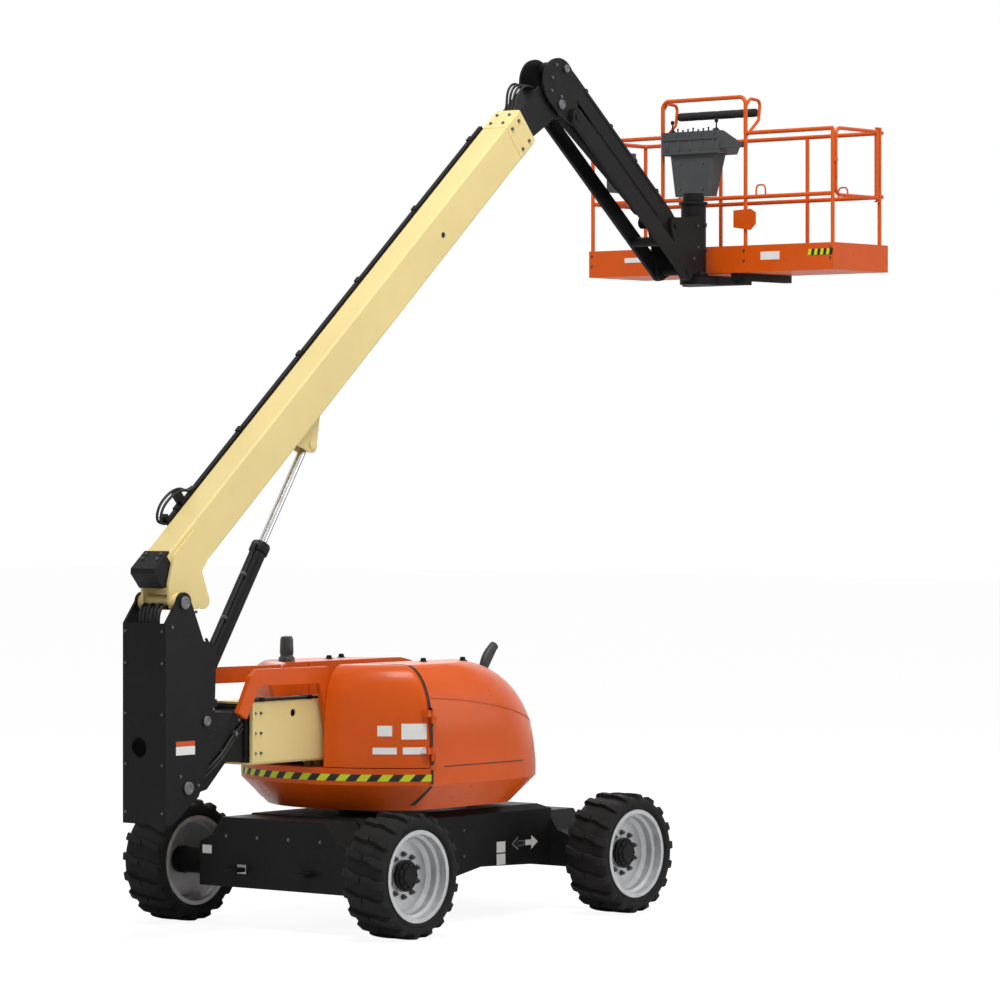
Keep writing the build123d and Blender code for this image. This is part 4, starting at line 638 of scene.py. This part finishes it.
BLANKS = (
    # name, body, film, node, low (along, z), high (along, z), axis
    ("upright_blank", "upright", "white_film", "upright", (-2.62, 1.315), (-2.43, 1.375), "y"),
    ("upright_blank_head", "upright", "orange_paint", "upright", (-2.62, 1.377), (-2.43, 1.41),
     "y"),
    ("frame_blank_1", "chassis", "white_film", "chassis_frame", (0.44, 0.375), (0.54, 0.455), "y"),
    ("frame_blank_2", "chassis", "white_film", "chassis_frame", (0.44, 0.465), (0.54, 0.545), "y"),
    ("axle_blank_1", "chassis", "white_film", "front_axle", (0.265, 0.39), (0.35, 0.455), "x"),
    ("axle_blank_2", "chassis", "white_film", "front_axle", (0.60, 0.52), (0.69, 0.58), "x"),
    ("toe_blank_1", "platform", "white_film", "toe_boards", (-0.70, 4.95), (-0.515, 5.015), "x"),
    ("toe_blank_2", "platform", "white_film", "toe_boards", (0.675, 4.965), (0.85, 5.005), "x"),
)
for row in BLANKS:
    blank(*row)

# blanks on the round front of the right door: angles from +X round the slew axis, heights
DOOR_BLANKS = ((-147.8, -142.6, 1.390, 1.465), (-139.4, -130.6, 1.368, 1.480),
               (-149.4, -141.0, 1.262, 1.310), (-138.9, -131.0, 1.262, 1.312))
for number, (from_angle, to_angle, z_low, z_high) in enumerate(DOOR_BLANKS):
    film(f"door_blank_{number + 1}", "door_right", "white_film", "hood_door_right",
         [[inwards(angle, z) for angle in spread(from_angle, to_angle, 8)]
          for z in spread(z_low, z_high, 6)])


def flat_mark(name, body, material, outline, face_y):
    """Flat film on the right side of the chassis, drawn along X and Z."""
    piece = Piece(name, body, material)
    piece.slab(outline, MARK_THICK, plan(0, 0, face_y - FILM_LIFT))
    piece.done()


def travel_arrows():
    """A white arrow to the tail and a black one with a grey edge to the front, on the frame."""
    arrow = ((0.0, 0.02), (0.07, 0.02), (0.07, 0.05), (0.145, 0.0), (0.07, -0.05), (0.07, -0.02),
             (0.0, -0.02))
    back = tuple(reversed(arrow))
    middle_z = 0.520
    face = -FRAME_SIDE
    flat_mark("travel_arrow_white", "chassis", "white_film",
              [(0.775 + x, middle_z + z) for x, z in arrow], face)
    flat_mark("travel_arrow_edge", "chassis", "grey_film",
              [(0.760 - x, middle_z + z) for x, z in back], face)
    flat_mark("travel_arrow_black", "chassis", "black_film",
              [(0.753 - x * 0.88, middle_z + z * 0.8) for x, z in back], face - FILM_LIFT)


travel_arrows()


def toe_hazard():
    """Short run of slanting bars on the toe board at the gate's corner."""
    first_y, low_z, high_z, wide, lean = -0.975, 4.974, 5.022, 0.029, 0.010
    for colour, first in (("yellow_film", 0), ("black_film", 1)):
        piece = Piece(f"toe_{colour}", "platform", colour)
        for k in range(first, 8, 2):
            y = first_y - wide * k
            outline = [(y, low_z), (y - wide, low_z), (y - wide - lean, high_z),
                       (y - lean, high_z)]
            piece.slab(outline, MARK_THICK, plan(PLATFORM_NEAR - FILM_LIFT, 0), (0, 1, 0),
                       (0, 0, 1))
        piece.done()


toe_hazard()


# ---------------- seams and lines of the hood ----------------
COWL_EDGE = -0.7365         # the cowl's edge at the door, from the slew axis
SEAL_END = -0.716
LINE_FROM, LINE_TO = -0.70, 0.72
HOOD_MIDDLE = (0.45, 1.12)  # y, z that the rays of the door's seal aim at
LINE_LIFT = 0.005


def across_hood(x, degrees, side):
    """Ray towards the hood's middle line, from an angle that starts level on the left side."""
    way = Vector((0.0, -math.cos(math.radians(degrees)), -math.sin(math.radians(degrees))))
    return plan(x, HOOD_MIDDLE[1], side * HOOD_MIDDLE[0]) - way * 2.5, way


def hood_lines(side, side_name):
    """Door seal, its run down the pan, the bead along the cowl and the joint at its foot."""
    cowl = f"hood_cowl_{side_name}"
    sweep = [4 * k for k in range(2, 24)]
    if side == RIGHT:
        sweep = [180 - degrees for degrees in sweep]
    film(f"door_seal_{side_name}", "turntable", "black_film", cowl,
         [[across_hood(x, degrees, side) for degrees in sweep] for x in (COWL_EDGE, SEAL_END)])
    film(f"pan_seal_{side_name}", "turntable", "black_film", "turntable_pan",
         [[sideways(x, 1.15 - 0.02 * k, side) for k in range(14)] for x in (-0.740, SEAL_END)])
    # the bead falls from the seam to the tail
    grid = []
    for rise in (0.0, 0.014):
        row = []
        for k in range(36):
            x = LINE_FROM + (LINE_TO - LINE_FROM) * k / 35
            fall = 0.25 * ((x - LINE_FROM) / (LINE_TO - LINE_FROM)) ** 1.7
            row.append(sideways(x, 1.655 - fall + rise, side))
        grid.append(row)
    film(f"body_line_{side_name}", "turntable", "orange_paint", cowl, grid, LINE_LIFT)
    film(f"cowl_foot_{side_name}", "turntable", "black_film", cowl,
         [[sideways(-0.60 + 0.04 * k, z, side) for k in range(24)] for z in (1.166, 1.172)])


for side, side_name in SIDES:
    hood_lines(side, side_name)


def deck_knobs():
    """Rubber stops on the top of the hood."""
    deck = Piece("deck_knobs", "turntable", "black_paint", smooth=30)
    for x, y, side_name in ((-0.034, 0.565, "left"), (-0.228, -0.402, "right"),
                            (0.10, -0.50, "right"), (-0.30, 0.45, "left")):
        place, _ = onto(f"hood_cowl_{side_name}", plan(x, FAR_OUT, y), (0, 0, -1))
        deck.lathe(place - Vector((0, 0, 0.004)), (0, 0, 1), ((0.0, 0.0), (0.034, 0.0),
                   (0.034, 0.006), (0.022, 0.010), (0.020, 0.026), (0.014, 0.032),
                   (0.0, 0.033)), 24)
    deck.done()


def beacon_lens():
    """Beacon with a flanged foot and fine ribs down its lens."""
    lens = Piece("beacon_shown", "door_left", "amber_lens", smooth=40)
    low_corner, high_corner = (Vector(c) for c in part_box("beacon"))
    tall = high_corner.z - low_corner.z
    foot = (low_corner + high_corner) / 2
    foot.z = low_corner.z
    lens.lathe(foot, (0, 0, 1), ((0.0, 0.0), (0.060, 0.0), (0.060, 0.026), (0.054, 0.034),
               (0.050, 0.036), (0.047, 0.044), (0.047, 0.052), (0.050, 0.060),
               (0.049, tall * 0.5), (0.046, tall - 0.022), (0.038, tall - 0.007), (0.020, tall),
               (0.0, tall)), 40)
    for out in circle(20, 1.0):
        lens.bar(foot + out * 0.0485 + Vector((0, 0, 0.066)),
                 foot + out * 0.0455 + Vector((0, 0, tall - 0.030)), 0.0022, 6)
    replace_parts(lens.done(), "beacon")


deck_knobs()
beacon_lens()


# ---------------- pipes and fittings ----------------
def pipe(name, body, material, points, radius, at=None):
    """Round bar or tube along one smooth curve drawn by given points."""
    curve = bpy.data.curves.new(name, "CURVE")
    curve.dimensions = "3D"
    curve.bevel_depth = radius
    curve.bevel_resolution = 4
    curve.use_fill_caps = True
    spline = curve.splines.new("NURBS")
    spline.points.add(len(points) - 1)
    at = at or Matrix.Identity(4)
    for point, place in zip(spline.points, points):
        point.co = (at @ Vector(place)).to_4d()
    spline.order_u = 3
    spline.use_endpoint_u = True
    spline.resolution_u = 10
    obj = bpy.data.objects.new(name, curve)
    scene.collection.objects.link(obj)
    curve.materials.append(MATERIALS[material])
    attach(obj, body)


def hose(name, body, points, radius, at=None):
    """Hydraulic line held along its whole way by one body."""
    pipe(name, body, "hose_black", points, radius, at)


def clamp(piece, centre, along, out, width, stack):
    """Clip over a line: a small strap with a bolt. out points away from the carrier."""
    centre, along, out = Vector(centre), Vector(along).normalized(), Vector(out).normalized()
    across = along.cross(out)
    turn = Matrix((along, across, out)).transposed()
    piece.box(centre + out * stack / 2, (0.022, width, stack), turn)
    piece.bolt(centre + out * stack, out, 0.011)


def cylinder_dress(name, body, foot, end, length, radius, up, lines=True):
    """Gland and head screws of a hydraulic cylinder's barrel, and its ports with the line between
    them where there is room for one. up points at the side with the ports."""
    foot, end, up = Vector(foot), Vector(end), Vector(up)
    along = (end - foot).normalized()
    up = (up - along * up.dot(along)).normalized()
    side = along.cross(up)
    port_top = radius + 0.020
    start = foot + along * (radius * 1.5)
    head = foot + along * (length - 0.035)
    fittings = steel(f"{name}_fittings", body)
    if lines:
        for place in (start, head):
            fittings.bar(place + up * (radius - 0.004), place + up * port_top, 0.014, 14)
            fittings.hexagon(place + up * port_top, up, 0.024, 0.016)
    for a in around(8):
        spot = foot + along * length + (up * math.cos(a) + side * math.sin(a)) * (radius - 0.008)
        fittings.hexagon(spot, along, 0.011, 0.006)
    if lines:
        for share in (0.3, 0.55, 0.8):
            clamp(fittings, foot + along * (length * share) + up * (radius - 0.002), along, up,
                  0.034, 0.032)
    fittings.done()
    if lines:
        # from the head's port, back over it, along the barrel and into the foot's port
        way = ((head, 0.0, 0.030), (head, -0.01, 0.052), (head, -0.08, 0.030),
               (head, -0.14, 0.018), (start, 0.18, 0.018), (start, 0.10, 0.030),
               (start, 0.01, 0.050), (start, 0.0, 0.030))
        hose(f"{name}_line", body,
             [place + along * step + up * (radius + lift) for place, step, lift in way], 0.009)
    gland = Piece(f"{name}_gland", body, "black_paint", smooth=30)
    gland.lathe(foot + along * (length - 0.062), along, ((radius - 0.002, -0.012),
                (radius + 0.009, -0.010), (radius + 0.010, 0.0), (radius + 0.010, 0.050),
                (radius + 0.006, 0.060), (radius * 0.62, 0.0625), (radius * 0.62, 0.020),
                (radius - 0.010, 0.010)), 40)
    gland.done()


pipe("exhaust_tip", "turntable", "exhaust_steel",
     [plan(x, z, 0.030) for x, z in ((0.975, 1.700), (0.975, 1.780), (0.992, 1.850),
                                     (1.040, 1.915), (1.103, 1.958))], 0.036)
cylinder_dress("boom_cylinder", "boom_barrel", BOOM_CYLINDER_FOOT,
               BOOM @ Vector((1.830, 0, -0.130)), 1.448, 0.060, (-0.9, -0.35, 0.2))
cylinder_dress("tower_cylinder", "tower_barrel", plan(0.200, 0.970), plan(-0.930, 1.145), 1.035,
               0.055, (0, -1, 0))
cylinder_dress("jib_cylinder", "jib_barrel", NOSE + Vector((0.130, 0, -0.060)),
               UPPER @ Vector((1.650, 0, -0.100)), 1.225, 0.044, (0, -1, 0), lines=False)


def pin_caps():
    """Turned end caps on the pins that show."""
    # body, place, half the width that the pin spans, cap radius
    rows = (("boom_base", BOOM @ Vector((0, 0, 0)), 0.2155, 0.046),
            ("tower_fly", plan(-2.500, 1.085), 0.2155, 0.046),
            ("upright", BOOM_CYLINDER_FOOT, 0.2155, 0.036),
            ("boom_fly", NOSE, 0.1325, 0.038),
            ("level_link", UPPER_PIN, 0.1325, 0.032),
            ("turntable", plan(0.800, 1.480), 0.2485, 0.048))
    for number, (body, place, half, radius) in enumerate(rows):
        cap = steel(f"pin_cap_{number}", body)
        for side in (RIGHT, LEFT):
            spot = place + Vector((0, side * half, 0))
            cap.lathe(spot, (0, side, 0), ((0.0, -0.010), (radius, -0.010), (radius, 0.004),
                      (radius - 0.005, 0.008), (radius * 0.55, 0.008), (radius * 0.5, 0.005),
                      (0.0, 0.005)), 32)
        cap.done()


pin_caps()


def boom_details():
    """Pad screws and collar at the mouth, a round plug in each side, and the lines along the
    carrier with a loop at its foot."""
    screws = steel("boom_pad_screws", "boom_base", BOOM)
    for side in (RIGHT, LEFT):
        for along in (5.06, 5.16):
            for across in (0.05, 0.24):
                screws.bolt((along, side * BOOM_SIDE, across), (0, side, 0), 0.020)
    for along in (5.06, 5.16):
        for y in (-0.06, 0.06):
            screws.bolt((along, y, 0.296), (0, 0, 1), 0.020)
            screws.bolt((along, y, -0.004), (0, 0, -1), 0.020)
    for along in (0.10, 0.15):
        for side in (RIGHT, LEFT):
            screws.bolt((along, side * 0.07, 0.310), (0, 0, 1), 0.016)
    screws.done()
    collar = Piece("boom_mouth_collar", "boom_base", "cream_paint", BOOM, bevel=0.003)
    for side in (RIGHT, LEFT):
        collar.box((5.110, side * (BOOM_SIDE + 0.0005), 0.146), (0.21, 0.005, 0.284))
    collar.box((5.110, 0, 0.2965), (0.21, 0.214, 0.005))
    collar.box((5.110, 0, -0.0045), (0.21, 0.214, 0.005))
    collar.done()
    plug = Piece("boom_side_plug", "boom_base", "black_film", BOOM, smooth=30)
    for side in (RIGHT, LEFT):
        plug.lathe((3.909, side * (BOOM_SIDE - 0.0005), 0.135), (0, side, 0),
                   ((0.0, -0.004), (0.021, -0.004), (0.021, 0.002), (0.017, 0.004),
                    (0.014, 0.001), (0.0, 0.001)), 28)
    plug.done()
    for number, across in enumerate((0.215, 0.190, 0.165)):
        hose(f"boom_line_{number}", "boom_base",
             [(0.52, 0.128, across), (1.6, 0.127, across), (3.0, 0.127, across),
              (4.95, 0.128, across), (5.05, 0.128, across + 0.03)], 0.009, BOOM)
    straps = Piece("boom_line_straps", "boom_base", "black_paint", BOOM)
    for k in range(9):
        along = 0.75 + 0.5 * k
        straps.box((along, 0.1275, 0.190), (0.03, 0.026, 0.082))
        straps.bolt((along, 0.1400, 0.2025), (0, 1, 0), 0.010)
    straps.done()
    for number, (y, tall) in enumerate(((0.122, 0.0), (0.146, 0.018))):
        hose(f"boom_foot_line_{number}", "boom_base",
             [(0.520, y, 0.290), (0.475, y, 0.300), (0.430, y, 0.350 + tall),
              (0.520, y, 0.415 + tall), (0.660, y, 0.415 + tall), (0.760, y, 0.372 + tall),
              (0.800, y, 0.322), (0.860, y, 0.312)], 0.010, BOOM)
    guide = Piece("boom_foot_guide", "boom_base", "black_paint", BOOM, bevel=0.003)
    guide.box((0.70, 0.134, 0.350), (0.05, 0.060, 0.10))
    guide.box((0.50, 0.134, 0.330), (0.04, 0.060, 0.06))
    guide.done()


boom_details()


def nose_details():
    """Lines over the boom's nose and down the jib, bolts on the levelling plates and edge strips
    on the upper link."""
    for number, y in enumerate((-0.040, -0.012, 0.016, 0.044)):
        hose(f"nose_line_{number}", "boom_fly",
             [(5.20, y, 0.262), (5.27, y, 0.285), (5.36, y, 0.345 + 0.012 * number),
              (5.46, y, 0.350 + 0.012 * number), (5.52, y, 0.300), (5.54, y, 0.245),
              (5.52, y, 0.200)], 0.010, BOOM)
    bolts = steel("level_link_bolts", "level_link")
    for side in (RIGHT, LEFT):
        for dx, dz in ((-0.11, 0.20), (-0.06, 0.30), (0.0, 0.06), (-0.12, 0.10)):
            bolts.bolt(NOSE + Vector((dx, side * SUPPORT_SIDE, dz)), (0, side, 0), 0.018)
    bolts.done()
    for number, y in enumerate((-0.045, -0.015, 0.015, 0.045)):
        hose(f"jib_line_{number}", "jib_upper",
             [(0.16, y, 0.075), (0.24, y, 0.098), (0.9, y, 0.0955), (1.5, y, 0.098),
              (1.62, y, 0.080)], 0.010, UPPER)
    straps = Piece("jib_line_straps", "jib_upper", "black_paint", UPPER)
    for along in (0.35, 0.75, 1.15, 1.5):
        straps.box((along, 0, 0.097), (0.03, 0.13, 0.026))
        for y in (-0.058, 0.058):
            straps.bolt((along, y, 0.110), (0, 0, 1), 0.009)
    straps.done()
    edge = Piece("jib_link_rails", "jib_upper", "black_paint", UPPER, bevel=0.002)
    for side in (RIGHT, LEFT):
        for across in (0.060, -0.062):
            edge.box((0.95, side * 0.0905, across), (1.30, 0.005, 0.022))
    edge.done()


nose_details()


def upright_details():
    """Lines over the top of the upright, its screws, and a line down its front edge in clips."""
    for number, y in enumerate((-0.088, -0.052, -0.017, 0.018, 0.053, 0.088)):
        reach = 0.012 * (number % 2)
        hose(f"upright_line_{number}", "upright",
             [plan(-2.650, 2.02, y), plan(-2.662, 2.14, y), plan(-2.676 + reach, 2.25, y),
              plan(-2.655, 2.325 + reach, y), plan(-2.600, 2.345 + reach, y),
              plan(-2.575, 2.325, y)], 0.013)
    screws = steel("upright_screws", "upright")
    for z in (0.92, 1.25, 1.60, 1.95, 2.17):
        for y in (-0.175, 0.175):
            screws.bolt(plan(UPRIGHT_BACK, z, y), (-1, 0, 0), 0.014)
    side_bolts(screws, ((-2.40, 1.10), (-2.58, 1.17), (-2.42, 2.30), (-2.66, 2.20),
                        (-2.25, 1.62)), UPRIGHT_SIDE, 0.016)
    screws.done()
    clips = Piece("upright_clips", "upright", "black_paint", bevel=0.002)
    for z, x in ((1.66, -2.216), (1.95, -2.208), (1.45, -2.226)):
        clips.box(plan(x, z, -0.196), (0.030, 0.012, 0.055))
        clips.bar(plan(x + 0.012, z - 0.02, -0.186), plan(x + 0.012, z + 0.02, -0.186), 0.012, 14)
    clips.done()
    hose("upright_front_line", "upright",
         [plan(-2.235, 1.35, -0.170), plan(-2.222, 1.60, -0.172), plan(-2.205, 1.80, -0.172),
          plan(-2.205, 2.02, -0.165), plan(-2.26, 2.11, -0.150)], 0.010)


upright_details()


def tower_details():
    """Lines on the tower's top, the fitting and lines of its neck, and the screws at its mouth."""
    middle, apart = -0.128, 0.027
    for number in range(3):
        y = middle + apart * (number - 1)
        hose(f"tower_line_{number}", "tower_base",
             [plan(-1.80, 1.664, y), plan(-1.2, 1.662, y), plan(-0.2, 1.662, y),
              plan(0.50, 1.664, y)], 0.011)
    straps = Piece("tower_line_straps", "tower_base", "black_paint")
    for x in (-1.7, -1.2, -0.7, -0.2, 0.3):
        straps.box(plan(x, TOWER_TOP + 0.014, middle), (0.035, 0.092, 0.030))
        for y in (middle - 0.040, middle + 0.040):
            straps.bolt(plan(x, TOWER_TOP + 0.022, y), (0, 0, 1), 0.010)
    straps.done()
    neck = steel("neck_fitting", "tower_fly")
    boss = plan(-1.985, 1.440, -NECK_SIDE - 0.022)
    neck.bar(plan(-1.985, 1.440, -NECK_SIDE), boss, 0.020, 18)
    neck.hexagon(boss, (0, -1, 0), 0.026, 0.016)
    for x, z in ((-2.10, 1.32), (-2.25, 1.20), (-1.93, 1.53)):
        neck.bolt(plan(x, z, -NECK_SIDE), (0, -1, 0), 0.016)
    neck.done()
    for number, drop in enumerate((0.0, 0.032)):
        hose(f"neck_line_{number}", "tower_fly",
             [plan(-1.905, 1.500 - drop, -0.162), plan(-1.985, 1.440 - drop, -0.166),
              plan(-2.12, 1.290 - drop, -0.166), plan(-2.30, 1.175 - drop, -0.164),
              plan(-2.385, 1.120 - drop, -0.160)], 0.011)
    screws = steel("tower_screws", "tower_base")
    side_bolts(screws, [(x, z) for x in (-1.80, -1.74) for z in (1.29, 1.43, 1.57)],
               TOWER_SIDE, 0.016)
    screws.done()


tower_details()


# ---------------- platform ----------------
def padded_bar():
    """Foam sleeve on the hoop's bar, pinched a little at its ties and rounded at its ends."""
    low_corner, high_corner = (Vector(c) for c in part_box("padded_bar"))
    middle = (low_corner + high_corner) / 2
    radius = (high_corner.z - low_corner.z) / 2
    length = high_corner.y - low_corner.y
    sleeve = Piece("padded_bar_shown", "platform", "foam_black", smooth=60)
    ties, rounding = 4, 0.02
    profile = [(0.0, 0.0)]
    for share in spread(0, 1, 120):
        crown = 1 - 0.05 * abs(math.cos(math.pi * ties * share)) ** 24
        end_round = min(share, 1 - share) * length
        if end_round < rounding:
            crown *= math.sqrt(max(0.12, 1 - ((rounding - end_round) / rounding) ** 2))
        profile.append((radius * crown, length * share))
    profile.append((0.0, length))
    sleeve.lathe((middle.x, low_corner.y, middle.z), (0, 1, 0), profile, 40)
    obj = sleeve.done()
    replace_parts(obj, "padded_bar")


padded_bar()


def console_details():
    """Lips and ribs round the console's head, switches and two joysticks on it, and screws."""
    low_corner, high_corner = (Vector(c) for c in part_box("control_console"))
    near, top = low_corner.x, high_corner.z
    # the head ends here on the right, short of the bracket that the box takes in
    y_low, y_high = -0.115, high_corner.y
    wide = y_high - y_low
    lip = Piece("console_lip", "platform", "grey_plastic", bevel=0.004)
    for drop, tall in ((0.060, 0.016), (0.172, 0.020)):
        lip.box((near - 0.004, (y_low + y_high) / 2, top - drop), (0.010, wide - 0.02, tall))
    for k in range(5):
        lip.box((near - 0.003, y_low + wide * (k + 0.5) / 5, top - 0.115), (0.007, 0.016, 0.088))
    lip.done()
    knobs = Piece("console_knobs", "platform", "black_paint", smooth=30)
    for k in range(9):
        y = y_low + wide * (0.14 + 0.09 * k)
        tall = (0.020, 0.034, 0.026)[k % 3]
        knobs.lathe((near + 0.042, y, top - 0.002), (0, 0, 1), ((0.0, 0.0), (0.013, 0.0),
                    (0.012, 0.006), (0.006, 0.008), (0.006, tall - 0.008), (0.010, tall - 0.004),
                    (0.008, tall), (0.0, tall + 0.002)), 16)
    for y in (y_low + 0.06, y_high - 0.07):
        knobs.lathe((near + 0.052, y, top - 0.002), (0, 0, 1), ((0.0, 0.0), (0.026, 0.0),
                    (0.024, 0.012), (0.012, 0.024), (0.006, 0.030), (0.006, 0.066),
                    (0.015, 0.074), (0.016, 0.090), (0.009, 0.100), (0.0, 0.101)), 20)
    knobs.done()
    screws = steel("console_screws", "platform")
    for z in (low_corner.z + 0.06, low_corner.z + 0.26):
        for share in (0.30, 0.70):
            screws.bolt((near + 0.0195, y_low + wide * share, z), (-1, 0, 0), 0.012)
    for share in (0.06, 0.28, 0.50, 0.72, 0.94):
        screws.bolt((near - 0.008, y_low + wide * share, top - 0.018), (-1, 0, 0), 0.009)
    screws.done()


console_details()


def platform_details():
    """Tread on the floor, bolts of the toe boards, gusset, anchor loops, latch, and the rotator's
    flanges and bolts."""
    tread = Piece("floor_tread", "platform", "ring_steel")
    low_corner, high_corner = (Vector(c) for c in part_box("platform_floor"))
    margin = 0.05
    for i, x in enumerate(spread(low_corner.x + margin, high_corner.x - margin, 10)):
        for j, y in enumerate(spread(low_corner.y + margin, high_corner.y - margin, 37)):
            turn = Matrix.Rotation(math.radians(45 if (i + j) % 2 else -45), 3, "Z")
            tread.box((x, y, high_corner.z + 0.001), (0.044, 0.009, 0.004), turn)
    tread.done()
    bolts = steel("toe_board_bolts", "platform")
    for x, way, places in ((PLATFORM_NEAR, -1, (-1.19, -0.35, 0.478, 1.19)),
                           (PLATFORM_FAR, 1, (-1.19, -0.45, 0.42, 1.19))):
        for y in places:
            for z in (4.95, 5.03):
                bolts.bolt(plan(x, z, y), (way, 0, 0), 0.013)
    bolts.done()
    plate = Piece("post_gusset", "platform", "orange_paint", bevel=0.003)
    plate.slab([(-0.250, 5.215), (-0.420, 5.190), (-0.470, 5.240), (-0.470, 5.330),
                (-0.420, 5.360), (-0.250, 5.352)], 0.010, plan(PLATFORM_NEAR + 0.002, 0),
               (0, 1, 0), (0, 0, 1))
    plate.done()
    inset = 0.023
    for number, (x, y) in enumerate(((PLATFORM_NEAR + inset, -0.50), (PLATFORM_FAR - inset, -0.80),
                                     (PLATFORM_FAR - inset, 0.80))):
        pipe(f"anchor_loop_{number}", "platform", "orange_paint",
             [plan(x, RAIL_MIDDLE + rise, y + aside) for rise, aside in
              ((0.008, -0.045), (0.085, -0.050), (0.095, 0.0), (0.085, 0.050), (0.008, 0.045))],
             0.007)
    latch = Piece("gate_latch", "platform", "orange_paint", bevel=0.003)
    latch.box(plan(3.806, 5.660, -1.197), (0.012, 0.050, 0.150))
    latch.box(plan(3.800, 5.720, -1.215), (0.050, 0.010, 0.030))
    latch.done()
    flange = Piece("rotator_flange", "platform_support", "black_paint", smooth=30)
    centre = plan(ROTATOR_X, 0)
    for low_z, high_z, radius in ((4.832, 4.852, 0.116), (5.395, 5.419, 0.114),
                                  (5.02, 5.05, 0.107), (5.22, 5.25, 0.107)):
        flange.lathe((centre.x, 0, low_z), (0, 0, 1), ((0.098, 0.0), (radius - 0.003, 0.0),
                     (radius, 0.003), (radius, high_z - low_z - 0.003),
                     (radius - 0.003, high_z - low_z), (0.098, high_z - low_z)), 48)
    flange.done()
    ring = steel("rotator_bolts", "platform_support")
    for place in circle(12, 0.104, 4.852, 0.5):
        ring.hexagon(centre + place, (0, 0, 1), 0.013, 0.008)
    side_bolts(ring, ((3.45, 5.22), (3.45, 5.05), (3.40, 4.96)), SUPPORT_SIDE, 0.016)
    ring.done()


platform_details()


def chassis_details():
    """Access plates with their bolts on the frame's sides, bolts on its ends, kingpin caps."""
    plates = Piece("frame_plates", "chassis", "black_paint", bevel=0.002)
    screws = steel("frame_screws", "chassis")
    for side in (RIGHT, LEFT):
        for x, half in ((-0.68, 0.15), (-0.10, 0.18)):
            plates.box(plan(x, 0.560, side * (FRAME_SIDE + 0.002)), (2 * half, 0.005, 0.24))
            for dx in (-half + 0.025, half - 0.025):
                for dz in (-0.095, 0.095):
                    screws.bolt(plan(x + dx, 0.560 + dz, side * (FRAME_SIDE + 0.004)),
                                (0, side, 0), 0.014)
    for end in (-1, 1):
        for y in (-0.45, -0.15, 0.15, 0.45):
            screws.bolt(plan(end * FRAME_END, 0.655, y), (end, 0, 0), 0.018)
    plates.done()
    screws.done()
    caps = steel("kingpin_caps", "chassis")
    for side in (RIGHT, LEFT):
        for z, way in ((0.600, 1), (0.290, -1)):
            place = plan(-WHEEL_X, z, side * KINGPIN_Y)
            caps.lathe(place, (0, 0, way), ((0.0, -0.004), (0.040, -0.004), (0.040, 0.006),
                       (0.032, 0.012), (0.0, 0.013)), 28)
            for screw in circle(4, 0.030, way * 0.006, 0.5):
                caps.bolt(place + screw, (0, 0, way), 0.008)
    caps.done()


chassis_details()
